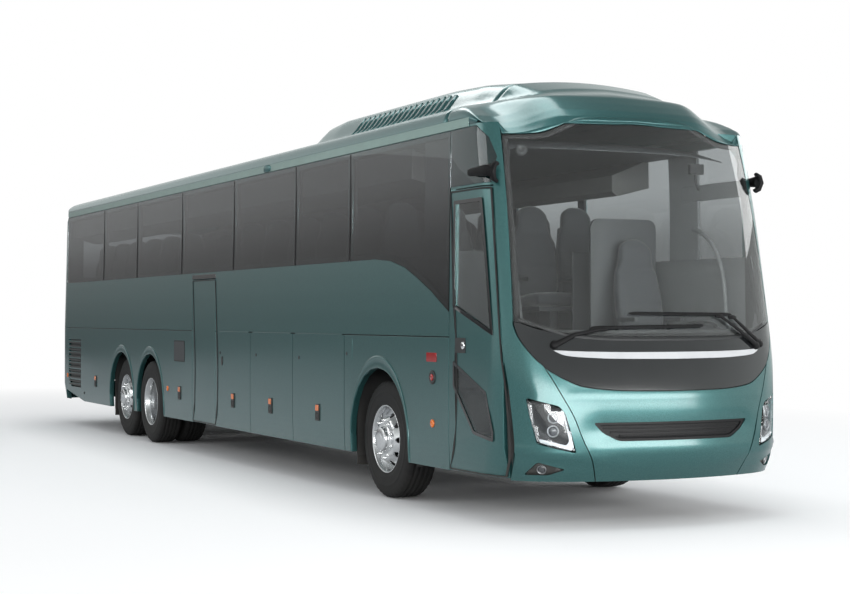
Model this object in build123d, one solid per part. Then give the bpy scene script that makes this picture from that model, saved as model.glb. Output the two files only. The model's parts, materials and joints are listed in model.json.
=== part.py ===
"""Three-axle touring coach, built from its real sub-assemblies.

Millimetres. +Z up, the coach faces -Y, +X is its left (driver's) side.
The origin lies on the ground under the middle of the body.
Curved shapes are laid out from arcs and then run in flat steps, so the whole coach stays light.
"""
import math
import os

from build123d import *

# ---------------------------------------------------------------- driving dimensions
LENGTH = 14950
WIDTH = 2550
HEIGHT = 3650
HALF_W = WIDTH / 2
FRONT_Y = -LENGTH / 2
REAR_Y = LENGTH / 2
FRONT_AXLE_Y = FRONT_Y + 2833
DRIVE_AXLE_Y = FRONT_AXLE_Y + 7240
TAG_AXLE_Y = DRIVE_AXLE_Y + 1370

TYRE_R = 522
TYRE_W = 295
RIM_R = 286
TWIN_PITCH = 330
SINGLE_FACE_X = 1205          # outer face of a front or tag tyre
TWIN_FACE_X = 1262            # outer face of the outer drive tyre
AXLE_Z = TYRE_R
WHEEL_SIDES = 20

SKIRT_Z = 365                 # lower edge of the side panels
SEAM_Z = 1440                 # seam between the lower panels and the wall
GLASS_Z0 = 2115               # side glass band
GLASS_Z1 = 3105
EAVE_Z = GLASS_Z1 + 25
GAP = 8                       # seam round anything that opens
WALL_T = 55
DOOR_T = 45
FLAP_T = 30
SKIN_T = 30                   # front and rear outer panels
SCREEN_T = 10
GLASS_T = 8
FIT = 0.3                     # assembly clearance between seated pieces
RUN = 0.05                    # radial running clearance of a bearing
PIN_RUN = 0.5                 # and of a door pin
BEAD_R = 3.5                  # hinge bead along the top edge of a flap or lid

FLOOR_Z = 1350                # saloon floor
FLOOR_T = 50
PAN_Z = 400                   # luggage bay floor
DRIVER_Z = 1000               # driver's platform
TREAD_T = 30
ARCH_R = 622
REAR_ARCH_R = 602
ARCH_Z = 528

DOOR_Y0, DOOR_Y1 = -6930, -6062     # front door at its foot
DOOR_FOOT_Z = 372
DOOR_TOP_Z = 2620
DOOR_KNEE_Z = 1300                  # the front edge leans back above this
DOOR_TOP_Y0 = -6720
MID_DOOR_Y0, MID_DOOR_Y1 = -62, 798
MID_DOOR_TOP_Z = 2034
ARM_LONG = 450                      # door swing arm, along the body
ARM_INSET = 40                      # and across it
ARM_LEVELS = (640, 1240)
FRONT_POST_X, MID_POST_X = 1110, 1140
POST_R = 20
PIN_R = 12
POST_INSET_FRONT, POST_INSET_MID = 150, 140   # post to the door's edge

FLAP_SEAMS = [-3862, -2522, -1252, -62]
WINDOW_SEAMS = [-6062, -3962, -2562, -662, 1258, 3238, 4958, 7130]
LEFT_FIRST_Y = -6650                # the driver's window starts here
SIDE_END_Y = 7146                   # the rear corner panels start here

KINGPIN_X = 940
KINGPIN_R = 25
STUB_R = 40

# height, frontmost y, rearmost y, half width, radius of the front bow, front corner radius
SECTIONS = [
    (300, -7350, 7330, 1262, 2500, 650),
    (600, -7475, 7475, 1275, 2500, 650),
    (1000, -7442, 7475, 1275, 2500, 550),
    (1450, -7342, 7475, 1275, 2500, 360),
    (3050, -6890, 7400, 1255, 3000, 200),
    (3200, -6835, 7260, 1250, 3000, 200),
    (3400, -6600, 6900, 1250, 3000, 300),
    (3700, -5800, 6300, 1250, 3000, 300),
]
REAR_BOW_R = 16000
REAR_CORNER_R = 180
CORNER_STEPS, BOW_STEPS = 4, 3            # flat steps in a front corner and in half the bow
REAR_CORNER_STEPS, REAR_BOW_STEPS = 3, 1


# ---------------------------------------------------------------- helpers
def block(x0, x1, y0, y1, z0, z1):
    size = (abs(x1 - x0), abs(y1 - y0), abs(z1 - z0))
    centre = ((x0 + x1) / 2, (y0 + y1) / 2, (z0 + z1) / 2)
    return Pos(*centre) * Box(*size)


def flat(points):
    return Face(Wire.make_polygon(points, close=True))


def prism_x(points_yz, x0, x1):
    return Solid.extrude(flat([(x0, y, z) for y, z in points_yz]), Vector(x1 - x0, 0, 0))


def prism_y(points_xz, y0, y1):
    return Solid.extrude(flat([(x, y0, z) for x, z in points_xz]), Vector(0, y1 - y0, 0))


def mirrored(points):
    """An outline given for x >= 0, from its first point round to the same on the other side."""
    return points + [(-x, z) for x, z in points[::-1] if x]


def both_sides(shape):
    return [shape, shape.mirror(Plane.YZ)]


def arc_points(centre, radius, start, stop, steps):
    cu, cv = centre
    angles = [start + (stop - start) * i / steps for i in range(steps + 1)]
    return [(cu + radius * math.cos(a), cv + radius * math.sin(a)) for a in angles]


def lies_flat(a, b, c, d):
    ab, ac, ad = (Vector(*p) - Vector(*a) for p in (b, c, d))
    normal = ab.cross(ac)
    return abs(normal.dot(ad)) < 1e-4 * normal.length


def patch(a0, a1, b1, b0):
    """Flat face over four corners, or two triangles where they are twisted."""
    if a0 == a1:
        return [flat([a0, b1, b0])]
    if b0 == b1:
        return [flat([a0, a1, b0])]
    if lies_flat(a0, a1, b1, b0):
        return [flat([a0, a1, b1, b0])]
    if a0[0] + a1[0] > 0:
        return [flat([a0, a1, b1]), flat([a0, b1, b0])]
    return [flat([a0, a1, b0]), flat([a1, b1, b0])]


def faceted(rings, closed=False):
    """Solid through rings of matching points; a ring of one point is a tip."""
    pairs = list(zip(rings, rings[1:])) + ([(rings[-1], rings[0])] if closed else [])
    faces = [] if closed else [flat(ring) for ring in (rings[0], rings[-1]) if len(ring) > 1]
    for a, b in pairs:
        count = max(len(a), len(b))
        for i in range(count):
            j = (i + 1) % count
            faces += patch(a[i % len(a)], a[j % len(a)], b[j % len(b)], b[i % len(b)])
    return Solid(Shell(faces))


def turned(profile, axis, sides, closed=False):
    """Turned part in flat steps about the z axis of a plane; rows are height, radius to the flats."""
    rings = []
    half = math.pi / sides
    for height, radius in profile:
        reach = radius / math.cos(half)
        circle = arc_points((0, 0), reach, half, half + 2 * math.pi, sides)[:-1] if radius else [(0, 0)]
        rings.append([tuple(axis.from_local_coords(Vector(u, v, height))) for u, v in circle])
    return faceted(rings, closed)


def rod(start, end, radius):
    """Round bar with a true cylinder face, for journals and their bores."""
    axis = Vector(*end) - Vector(*start)
    return Solid.make_cylinder(radius, axis.length, Plane(origin=start, z_dir=axis))


def bar(start, end, radius, sides=12):
    """Round bar in flat steps."""
    axis = Vector(*end) - Vector(*start)
    return turned([(0, radius), (axis.length, radius)], Plane(origin=start, z_dir=axis), sides)


def save(name, *shapes):
    solids = []
    for shape in shapes:
        for item in shape if isinstance(shape, (list, tuple)) else [shape]:
            solids += item.solids()
    export_step(solids[0] if len(solids) == 1 else Compound(solids), f"parts/{name}.step")


# ---------------------------------------------------------------- body envelope
def end_points(tip_y, half_w, bow_r, corner_r, way, corner_steps, bow_steps):
    """One end of a body section, corner, bow and corner; way is +1 at the front, -1 at the rear."""
    bow_y = tip_y + way * bow_r
    corner_x = half_w - corner_r
    reach = math.sqrt((bow_r - corner_r) ** 2 - corner_x ** 2)
    lean = math.atan2(reach, corner_x)
    corner = arc_points((corner_x, bow_y - way * reach), corner_r, 0, -way * lean, corner_steps)
    bow = arc_points((0, bow_y), bow_r, -way * lean, -way * math.pi / 2, bow_steps)
    half = corner + bow[1:-1]
    return half + [(0, tip_y)] + [(-x, y) for x, y in half[::-1]]


def outline(section, inset):
    z, front_y, rear_y, half_w, bow_r, corner_r = section
    w = half_w - inset
    front = end_points(front_y + inset, w, bow_r - inset, corner_r - inset, 1, CORNER_STEPS, BOW_STEPS)
    rear = end_points(rear_y - inset, w, REAR_BOW_R - inset, REAR_CORNER_R - inset, -1,
                      REAR_CORNER_STEPS, REAR_BOW_STEPS)
    return [(x, y, z) for x, y in front + rear[::-1]]


def rear_y_at(z):
    for low, high in zip(SECTIONS, SECTIONS[1:]):
        if low[0] <= z <= high[0]:
            return low[2] + (high[2] - low[2]) * (z - low[0]) / (high[0] - low[0])


ENVELOPES = {}


def envelope(inset):
    if inset not in ENVELOPES:
        ENVELOPES[inset] = faceted([outline(section, inset) for section in SECTIONS])
    return ENVELOPES[inset]


def skin(cutter, outer=0.0, inner=WALL_T):
    """The part of the body skin between two insets that lies inside the cutter."""
    return (envelope(outer) & cutter) - envelope(inner)


# ---------------------------------------------------------------- wheels
SINGLE_X = SINGLE_FACE_X - TYRE_W / 2         # tyre middles
TWIN_OUT_X = TWIN_FACE_X - TYRE_W / 2
TWIN_IN_X = TWIN_OUT_X - TWIN_PITCH
DISC_OUT = 70                 # steer and tag discs sit towards the outer side
DISC_IN = -120                # the outer twin's disc sits deep
DISC_T = 18
HUB_R = 125
HUB_OUT, HUB_OUT_DRIVE = 75, 130
HUB_BACK = 60
WELL_R = 268
HAND_HOLES, HAND_HOLE_R, HAND_HOLE_PITCH_R = 10, 24, 218


def wheel_axis(x, centre_y, side=1):
    return Plane(origin=(x, centre_y, AXLE_Z), x_dir=(0, 0, -1), z_dir=(side, 0, 0))


def tyre(centre_x, centre_y):
    half = TYRE_W / 2
    right = [(half - 40, TYRE_R), (half, TYRE_R - 70), (half - 14, RIM_R + FIT)]
    left = [(-x, r) for x, r in right[::-1]]
    return turned(left + right, wheel_axis(centre_x, centre_y), WHEEL_SIDES, closed=True)


def rim(centre_x, centre_y, side, disc_out, hub_out, hub_back, holes=0):
    """Barrel, disc and hub in one; disc_out runs from the tyre's middle towards the outside."""
    half = TYRE_W / 2 - 14
    back, face = disc_out - DISC_T / 2, disc_out + DISC_T / 2
    profile = [(disc_out - hub_back, 0), (disc_out - hub_back, HUB_R), (back, HUB_R), (back, WELL_R),
               (-half, WELL_R), (-half, RIM_R), (half, RIM_R), (half, WELL_R + 4), (face, WELL_R - 4),
               (face, HUB_R + 10), (disc_out + hub_out, HUB_R - 20), (disc_out + hub_out, 0)]
    axis = wheel_axis(centre_x, centre_y, side)
    wheel = turned(profile, axis, WHEEL_SIDES)
    for i in range(holes):
        turn = 2 * math.pi * (i + 0.5) / holes
        local = (HAND_HOLE_PITCH_R * math.cos(turn), HAND_HOLE_PITCH_R * math.sin(turn))
        start, end = (axis.from_local_coords(Vector(*local, z)) for z in (back - 5, face + 25))
        wheel -= bar(tuple(start), tuple(end), HAND_HOLE_R, 6)
    return wheel


def hub_bore(centre_x, centre_y, side, disc_out, hub_back):
    start = (centre_x + side * (disc_out - hub_back - 5), centre_y, AXLE_Z)
    end = (centre_x + side * (disc_out + 45), centre_y, AXLE_Z)
    return rod(start, end, STUB_R + RUN)


def make_wheels():
    for side, hand in ((1, "left"), (-1, "right")):
        for name, axle_y in (("front", FRONT_AXLE_Y), ("tag", TAG_AXLE_Y)):
            save(f"tyre_{name}_{hand}", tyre(side * SINGLE_X, axle_y))
            wheel = rim(side * SINGLE_X, axle_y, side, DISC_OUT, HUB_OUT, HUB_BACK, HAND_HOLES)
            save(f"rim_{name}_{hand}", wheel - hub_bore(side * SINGLE_X, axle_y, side, DISC_OUT, HUB_BACK))
        twins = (side * TWIN_OUT_X, side * TWIN_IN_X)
        save(f"tyres_drive_{hand}", [tyre(x, DRIVE_AXLE_Y) for x in twins])
        outer = rim(twins[0], DRIVE_AXLE_Y, side, DISC_IN, HUB_OUT_DRIVE, 100, HAND_HOLES)
        inner = rim(twins[1], DRIVE_AXLE_Y, side, 0, HUB_OUT_DRIVE, HUB_BACK)
        save(f"rims_drive_{hand}", outer + inner - hub_bore(twins[1], DRIVE_AXLE_Y, side, 0, HUB_BACK))


# ---------------------------------------------------------------- axles and steering
CHASSIS_Z0, CHASSIS_Z1 = 760, 900
RAIL_X, RAIL_HALF = 420, 40
BOSS_HALF = 75                # kingpin boss of the beam, up and down from the wheel centre
FORK_T = 40


def on_rails(y0, y1, z0, z1, half=RAIL_HALF):
    """A block on each of the two chassis rails."""
    return [block(side * (RAIL_X - half), side * (RAIL_X + half), y0, y1, z0, z1) for side in (-1, 1)]


def make_axles():
    y = FRONT_AXLE_Y
    beam = block(-KINGPIN_X + 50, KINGPIN_X - 50, y - 50, y + 50, AXLE_Z - 110, AXLE_Z - 10)
    for side in (-1, 1):
        pin_x = side * KINGPIN_X
        beam -= block(pin_x - 75, pin_x + 75, y - 90, y + 90, AXLE_Z - 120, AXLE_Z - BOSS_HALF)
        beam += bar((pin_x, y, AXLE_Z - BOSS_HALF), (pin_x, y, AXLE_Z + BOSS_HALF), 58)
        beam -= rod((pin_x, y, AXLE_Z - 90), (pin_x, y, AXLE_Z + 90), KINGPIN_R + RUN)
    save("front_axle", beam + on_rails(y - 60, y + 60, AXLE_Z - 20, CHASSIS_Z0 - FIT))

    for side, hand in ((1, "left"), (-1, "right")):
        pin_x = side * KINGPIN_X
        fork_z = BOSS_HALF + 5
        fork_end = fork_z + FORK_T
        fork = Part() + rod((pin_x, y, AXLE_Z - fork_end), (pin_x, y, AXLE_Z + fork_end), KINGPIN_R)
        for z in (AXLE_Z - fork_z - FORK_T, AXLE_Z + fork_z):
            fork += block(pin_x - side * 45, pin_x + side * 95, y - 48, y + 48, z, z + FORK_T)
        fork += block(pin_x + side * 68, pin_x + side * 95, y - 48, y + 48,
                      AXLE_Z - fork_end, AXLE_Z + fork_end)
        stub_end = side * (SINGLE_X + DISC_OUT + 40)
        fork += rod((pin_x + side * 80, y, AXLE_Z), (stub_end, y, AXLE_Z), STUB_R)
        save(f"knuckle_{hand}", fork)

    beams = []
    for axle_y, disc_x, case_r in ((DRIVE_AXLE_Y, TWIN_IN_X, 185), (TAG_AXLE_Y, SINGLE_X + DISC_OUT, 0)):
        tube_end = disc_x - 110
        tube = bar((-tube_end, axle_y, AXLE_Z), (tube_end, axle_y, AXLE_Z), 75)
        for side in (-1, 1):
            stub_x0, stub_x1 = side * (tube_end - 20), side * (disc_x + 40)
            tube += rod((stub_x0, axle_y, AXLE_Z), (stub_x1, axle_y, AXLE_Z), STUB_R)
        tube += on_rails(axle_y - 60, axle_y + 60, AXLE_Z, CHASSIS_Z0 - FIT)
        if case_r:
            tube += turned([(-170, 90), (-90, case_r), (90, case_r), (170, 90)],
                           wheel_axis(0, axle_y), 16)
        beams.append(tube)
    save("rear_axles", beams)


# ---------------------------------------------------------------- underbody
HOUSE_HALF = 660
BOGIE_Y = (DRIVE_AXLE_Y + TAG_AXLE_Y) / 2
BOGIE_HALF = 1310
ENGINE_Y0, ENGINE_Y1 = 5400, 6900
PLATFORM_Y1 = -5400                    # the driver's platform ends here and the saloon floor begins
BAY_Y0, BAY_Y1 = -3892, 828
SPANS = [(-5980, -3920), (840, 7000)]  # chassis rails, before and behind the luggage bay
JACK_Y = (-4100, 1600)
JACK_HALF, JACK_T = 35, 12             # jacking pads under the rails


def make_underbody():
    pieces = Part()
    for y0, y1 in SPANS:
        count = round((y1 - y0) / 1000)
        pieces += on_rails(y0, y1, CHASSIS_Z0, CHASSIS_Z1)
        for i in range(count + 1):
            y = y0 + 60 + i * (y1 - y0 - 120) / count
            if ENGINE_Y0 - 60 < y < ENGINE_Y1 + 60:
                continue
            floor_z = DRIVER_Z - 40 if y < PLATFORM_Y1 + 40 else FLOOR_Z - FLOOR_T
            pieces += block(-RAIL_X, RAIL_X, y - 40, y + 40, CHASSIS_Z0 + 20, CHASSIS_Z1 - 20)
            pieces += on_rails(y - 40, y + 40, CHASSIS_Z1 - 5, floor_z - FIT)
    for y in JACK_Y:
        pieces += on_rails(y - JACK_HALF, y + JACK_HALF, CHASSIS_Z0 - JACK_T, CHASSIS_Z0 + 5, JACK_HALF)
    save("chassis_frame", pieces)

    inner_x = HALF_W - WALL_T - 25
    half = 15
    bay = block(-inner_x, inner_x, BAY_Y0, BAY_Y1, PAN_Z - 2 * half, PAN_Z)
    bay -= block(-1400, -690, MID_DOOR_Y0, MID_DOOR_Y1, 0, 2000)
    bulkheads = []
    for y in (BAY_Y0 + half, FLAP_SEAMS[1], FLAP_SEAMS[2], FLAP_SEAMS[3], BAY_Y1 - half):
        bulkheads.append(block(-inner_x, inner_x, y - half, y + half, PAN_Z + FIT, FLOOR_Z - FLOOR_T - FIT))
    save("luggage_bay", bay, bulkheads)

    houses = []
    sheet = 6
    top = FLOOR_Z - FLOOR_T - FIT
    outer_x = HALF_W - WALL_T - 25
    # axle y, half length, inner wall x
    for axle_y, half, wall_x in ((FRONT_AXLE_Y, HOUSE_HALF, 540), (BOGIE_Y, BOGIE_HALF, 520)):
        box = block(wall_x, outer_x, axle_y - half, axle_y + half, 330, top)
        inside = half - sheet
        box -= block(wall_x + sheet, outer_x + 9, axle_y - inside, axle_y + inside, 320, top - sheet)
        box -= block(wall_x - 9, 900, axle_y - half - 9, axle_y + half + 9, 320, CHASSIS_Z0)
        houses += both_sides(box)
    save("wheel_houses", houses)


# ---------------------------------------------------------------- floors and stairs
FLOOR_END_Y = 7300
MID_WELL_X = -760                       # the mid stair well runs out from here
MID_WELL_Y0, MID_WELL_Y1 = MID_DOOR_Y0 + 20, MID_DOOR_Y1 - 20
STAIR_Y0, STAIR_Y1 = -6840, -6070
STAIR_X = -330
# outer edge of each tread and its height
FRONT_TREADS = [(-1130, 400), (-940, 620), (-680, 840)]
MID_TREADS = [(-1185, 400), (-1060, 640), (-910, 880), (-780, 1120)]


def make_floors():
    edge_x = HALF_W - WALL_T - FIT
    z0 = FLOOR_Z - FLOOR_T
    slabs = [block(MID_WELL_X + FIT, edge_x, PLATFORM_Y1, FLOOR_END_Y, z0, FLOOR_Z),
             block(-edge_x, MID_WELL_X, PLATFORM_Y1, MID_WELL_Y0, z0, FLOOR_Z),
             block(-edge_x, MID_WELL_X, MID_WELL_Y1, FLOOR_END_Y, z0, FLOOR_Z)]
    # side, start and end of each kerb along the walls
    for side, y0, y1 in ((1, PLATFORM_Y1, SIDE_END_Y), (-1, PLATFORM_Y1, MID_DOOR_Y0 - 20),
                         (-1, MID_DOOR_Y1 + 20, SIDE_END_Y)):
        slabs.append(block(side * (edge_x - 25), side * edge_x, y0, y1, FLOOR_Z + FIT, SEAM_Z + 50))
    inside = envelope(WALL_T + FIT)
    save("saloon_floor", [slab & inside for slab in slabs])

    platform_z = DRIVER_Z - 40
    foot_z = PAN_Z - TREAD_T
    steps = [block(STAIR_X, 1150, -6950, PLATFORM_Y1, platform_z, DRIVER_Z),
             block(-520, STAIR_X - FIT, STAIR_Y0, STAIR_Y1, platform_z, DRIVER_Z),
             block(-edge_x, STAIR_X - FIT, STAIR_Y1 + FIT, PLATFORM_Y1, platform_z, DRIVER_Z),
             block(-edge_x, edge_x, PLATFORM_Y1 - 40, PLATFORM_Y1 - FIT, DRIVER_Z + FIT, FLOOR_Z),
             block(-edge_x, STAIR_X - 50 - FIT, STAIR_Y1 + FIT, STAIR_Y1 + 20, foot_z, platform_z - FIT)]
    for x, z in FRONT_TREADS:
        steps.append(block(x, STAIR_X - 50 - FIT, STAIR_Y0, STAIR_Y1, z - TREAD_T, z))
    steps.append(block(STAIR_X - 50, STAIR_X, STAIR_Y0, STAIR_Y1, foot_z, platform_z - FIT))
    back_x = MID_WELL_X + 40
    for x, z in MID_TREADS:
        steps.append(block(x, back_x, MID_WELL_Y0, MID_WELL_Y1, z - TREAD_T, z))
    steps.append(block(back_x + FIT, back_x + 20, MID_WELL_Y0, MID_WELL_Y1, foot_z, z0 - FIT))
    # risers stand between the treads
    for treads, y0, y1 in ((FRONT_TREADS + [(-520, DRIVER_Z - 10)], STAIR_Y0, STAIR_Y1),
                           (MID_TREADS + [(MID_WELL_X, z0 + TREAD_T)], MID_WELL_Y0, MID_WELL_Y1)):
        for (_, low), (x, high) in zip(treads, treads[1:]):
            steps.append(block(x, x + 20, y0, y1, low + FIT, high - TREAD_T - FIT))
    shaped = [step & inside for step in steps]
    for post_x, post_y in ((FRONT_POST_X, DOOR_Y0 + POST_INSET_FRONT),
                           (MID_POST_X, MID_DOOR_Y1 - POST_INSET_MID)):
        hole = rod((-post_x, post_y, 300), (-post_x, post_y, 500), POST_R + RUN)
        shaped = [step - hole for step in shaped]
        bearing = block(-post_x - 25, -post_x + 30, post_y - 28, post_y + 28, PAN_Z + FIT, PAN_Z + 40)
        shaped.append(bearing - hole)
    save("steps", shaped)


# ---------------------------------------------------------------- side walls and glass
RIM_IN = 45                    # the glass laps the window openings by this much
SWEEP = [(-4560, GLASS_Z0), (-4902, 2090), (-5182, 2030), (-5452, 1930), (-5700, 1825),
         (DOOR_Y1, 1640), (-6418.5, SEAM_Z + 14), (-6752, 1280)]
OVER_DOOR = [(-6700, 2650), (-6700, 2850), (-6620, 3010), (-6500, GLASS_Z1)]


def sweep_z(y):
    for (y1, z1), (y0, z0) in zip(SWEEP, SWEEP[1:]):
        if y0 <= y <= y1:
            return z0 + (z1 - z0) * (y - y0) / (y1 - y0)
    return GLASS_Z0


def band(y0, y1, z1, drop):
    """Outline of a stretch of the glass band; its lower edge follows the sweep at the front."""
    low = [(y1, sweep_z(y1))] + [(y, sweep_z(y)) for y, _ in SWEEP if y0 < y < y1] + [(y0, sweep_z(y0))]
    return [(y1, z1)] + [(y, max(z, SEAM_Z + 14) + drop) for y, z in low] + [(y0, z1)]


def side_x(side, reach=1400):
    return (side * 700, side * reach)


def panes(first_y):
    seams = [first_y] + WINDOW_SEAMS[1:]
    return [(y0 + 3, y1 - 3) for y0, y1 in zip(seams, seams[1:])]


def split_y(panel, cuts):
    """A long panel as pieces butted together along the body."""
    ends = [FRONT_Y - 200] + cuts + [REAR_Y + 200]
    pieces = []
    for y0, y1 in zip(ends, ends[1:]):
        pieces += (panel & block(-1500, 1500, y0 + FIT / 2, y1 - FIT / 2, 0, HEIGHT + 100)).solids()
    return pieces


def make_side(side, hand):
    """Wall from the seam to the eaves with its window openings; returns the glass."""
    x0, x1 = side_x(side)
    first_y = DOOR_Y1 + GAP if side < 0 else LEFT_FIRST_Y
    lower_z = SEAM_Z + GAP / 2
    wall_top = EAVE_Z - FIT
    profile = [(first_y, lower_z), (SIDE_END_Y, lower_z), (SIDE_END_Y, wall_top)]
    if side < 0:
        over = [(y - 20, z) for y, z in OVER_DOOR[::-1]]
        head_z = DOOR_TOP_Z + GAP
        profile += [(over[0][0], wall_top)] + over[1:3] + [(over[3][0], head_z), (first_y, head_z)]
    else:
        profile += [(first_y, wall_top)]
    wall = skin(prism_x(profile, x0, x1))
    recess = envelope(0) - envelope(GLASS_T + FIT)
    wall -= recess & prism_x(band(first_y - 20, WINDOW_SEAMS[-1] + 4, GLASS_Z1 + 4, -4), x0, x1)
    glass = []
    for y0, y1 in panes(first_y):
        wall -= prism_x(band(y0 + RIM_IN, y1 - RIM_IN, GLASS_Z1 - RIM_IN, RIM_IN + 5), x0, x1)
        glass += skin(prism_x(band(y0, y1, GLASS_Z1, 0), x0, x1), 0, GLASS_T).solids()
    if side < 0:
        wall -= block(x0, x1, MID_DOOR_Y0 - GAP, MID_DOOR_Y1 + GAP, SEAM_Z - 50, MID_DOOR_TOP_Z + GAP)
        pane = [(first_y - 3, GLASS_Z1), (first_y - 3, 2650)] + OVER_DOOR
        bed = [(first_y + 9, GLASS_Z1 + 4), (first_y + 9, 2646), (-6704, 2646), (-6704, 2853), (-6624, 3014),
               (-6504, GLASS_Z1 + 4)]
        glass += skin(prism_x(pane, x0, x1), 0, GLASS_T).solids()
        wall -= recess & prism_x(bed, x0, x1)
        wall -= front_cut(screen_outline(3))
        cuts = [first_y, MID_DOOR_Y0 - GAP, MID_DOOR_Y1 + GAP]
    else:
        cuts = [PLATFORM_Y1, BAY_Y1]
    save(f"wall_{hand}", split_y(wall, cuts))
    return glass


# ---------------------------------------------------------------- lower side panels
FOOT_SWEEP = [(6030, SKIRT_Z - 5), (7340, 530), (7700, 530), (7700, 100), (6030, 100)]
AIR_Y0, AIR_Y1, AIR_Z0, AIR_Z1, AIR_FOOT = 6240, 6990, 560, 1270, 160   # side air grille
SLATS, SLAT_H = 9, 30


def arch_cutter(axle_y, radius, x0, x1):
    top = arc_points((axle_y, ARCH_Z), radius, 0, math.pi, 12)
    return prism_x(top + [(axle_y - radius, 200), (axle_y + radius, 200)], x0, x1)


def make_skirts():
    half = GAP / 2
    for side, hand in ((-1, "right"), (1, "left")):
        x0, x1 = side_x(side)
        front_y = DOOR_Y1 + GAP if side < 0 else LEFT_FIRST_Y
        rear_front_y = MID_DOOR_Y1 + GAP if side < 0 else MID_DOOR_Y1 + half
        top = SEAM_Z - half
        front = skin(block(x0, x1, front_y, FLAP_SEAMS[0] - half, SKIRT_Z, top))
        front -= arch_cutter(FRONT_AXLE_Y, ARCH_R, x0, x1)
        rear = skin(block(x0, x1, rear_front_y, SIDE_END_Y, SKIRT_Z, top))
        for axle_y in (DRIVE_AXLE_Y, TAG_AXLE_Y):
            rear -= arch_cutter(axle_y, REAR_ARCH_R, x0, x1)
        rear -= prism_x(FOOT_SWEEP, x0, x1)
        air = [(AIR_Y0, AIR_Z1), (AIR_Y0, AIR_Z0), (AIR_Y1 - AIR_FOOT, AIR_Z0), (AIR_Y1, AIR_Z0 + AIR_FOOT),
               (AIR_Y1, AIR_Z1)]
        rear -= prism_x(air, x0, x1)
        pitch = (AIR_Z1 - AIR_Z0) / SLATS
        for i in range(SLATS):
            z = AIR_Z0 + (i + 0.5) * pitch
            slat = block(x0, x1, AIR_Y0 - 5, AIR_Y1 + 5, z - SLAT_H / 2, z + SLAT_H / 2)
            rear += skin(slat & prism_x(air, x0, x1), 6, 36)
        panels = [front, rear]
        if side > 0:
            panels.append(skin(block(x0, x1, MID_DOOR_Y0 + half, MID_DOOR_Y1 - half, SKIRT_Z, top)))
        save(f"skirt_{hand}", panels)


def make_flaps():
    half = GAP / 2
    inset = 60
    for side, hand in ((-1, "right"), (1, "left")):
        x0, x1 = side_x(side)
        bead_x = side * (HALF_W - 5)
        for number, (y0, y1) in enumerate(zip(FLAP_SEAMS, FLAP_SEAMS[1:]), 1):
            flap = skin(block(x0, x1, y0 + half, y1 - half, SKIRT_Z, SEAM_Z - 6), 0, FLAP_T)
            flap += block(bead_x - 2, bead_x + 2, y0 + inset, y1 - inset, SEAM_Z - 10, SEAM_Z)
            flap += rod((bead_x, y0 + inset, SEAM_Z), (bead_x, y1 - inset, SEAM_Z), BEAD_R)
            save(f"flap_{hand}_{number}", flap)


# ---------------------------------------------------------------- roof
ROOF_T = 45
ROOF_HALF_W = HALF_W - 18
SHOULDER_Z, CROWN_Z = 3325, 3425
SHOULDER_W = 190              # the cove between the eave and the crown
CAP_Y = -6000                 # the front moulding ends here
BROW_X, BROW_LAP = 600, 20    # the brow starts here and laps behind the glass by this much


def crown_points(half_w, edge_z, top_z, steps):
    """Shallow arc over the body from one edge to the other."""
    rise = top_z - edge_z
    radius = (half_w ** 2 + rise ** 2) / (2 * rise)
    swing = math.asin(half_w / radius)
    return arc_points((0, top_z - radius), radius, math.pi / 2 - swing, math.pi / 2 + swing, steps)


def roof_section(inset, eave_z=EAVE_Z):
    w = ROOF_HALF_W - inset
    top = SHOULDER_Z - inset
    right = [(w, eave_z), (w, top - 95), (w - 50, top - 38)]
    crown = crown_points(w - SHOULDER_W, top, CROWN_Z - inset, 4)
    return right + crown + [(-x, z) for x, z in right[::-1]]


def make_roof():
    roof = prism_y(roof_section(0), -7200, 7475) & envelope(0)
    roof -= prism_y(roof_section(ROOF_T, EAVE_Z - 10), -6660, 7300) & envelope(ROOF_T)
    # the brow fills in over the dropped corners of the windscreen
    brow = [(x, z - BROW_LAP) for x, z in SCREEN_TOP[2:-1]]
    brow += [(PILLAR_X - 3, SCREEN_TOP[-1][1] - BROW_LAP), (PILLAR_X - 3, EAVE_Z + 5), (BROW_X, EAVE_Z + 5)]
    for side in (-1, 1):
        roof += skin(prism_y(side_outline(brow, side), -7200, LEFT_FIRST_Y - GAP), 0, SKIN_T)
    roof -= skin(front_cut(screen_outline(3)), 0, SCREEN_T + FIT)
    cap, *rest = split_y(roof, [CAP_Y])
    edge = ROOF_HALF_W - SHOULDER_W
    strips = []
    for x0, x1 in ((-1400, -edge - FIT), (-edge, edge), (edge + FIT, 1400)):
        for piece in rest:
            strips += (piece & block(x0, x1, CAP_Y - 100, REAR_Y, EAVE_Z - 50, HEIGHT)).solids()
    save("roof", cap, strips)


# y, half width at the base, half width of the top, height of the base, height of the top
DOME = [
    (-6760, 560, 470, 3240, 3262),
    (-6560, 760, 560, 3290, 3400),
    (-6240, 960, 640, 3310, 3545),
    (-5940, 1010, 660, 3322, 3600),
    (-5500, 1030, 670, 3322, 3642),
    (-4700, 1040, 680, 3322, HEIGHT),
    (-2700, 1040, 680, 3322, HEIGHT),
    (-2050, 1000, 640, 3322, 3560),
    (-1700, 940, 600, 3322, 3460),
]


def make_dome():
    """Housing of the roof air conditioner, faired into the front of the roof."""
    rings = []
    for y, base_w, top_w, z0, z1 in DOME:
        edge = (base_w - (base_w - top_w) * 0.35, z0 + (z1 - z0) * 0.72)
        crown = crown_points(top_w, z1 - 14, z1, 2)
        ring = [(base_w, z0), edge] + crown + [(-edge[0], edge[1]), (-base_w, z0)]
        rings.append([(x, y, z) for x, z in ring])
    save("roof_dome", faceted(rings) - prism_y(roof_section(-FIT), -7300, -1000))


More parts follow.
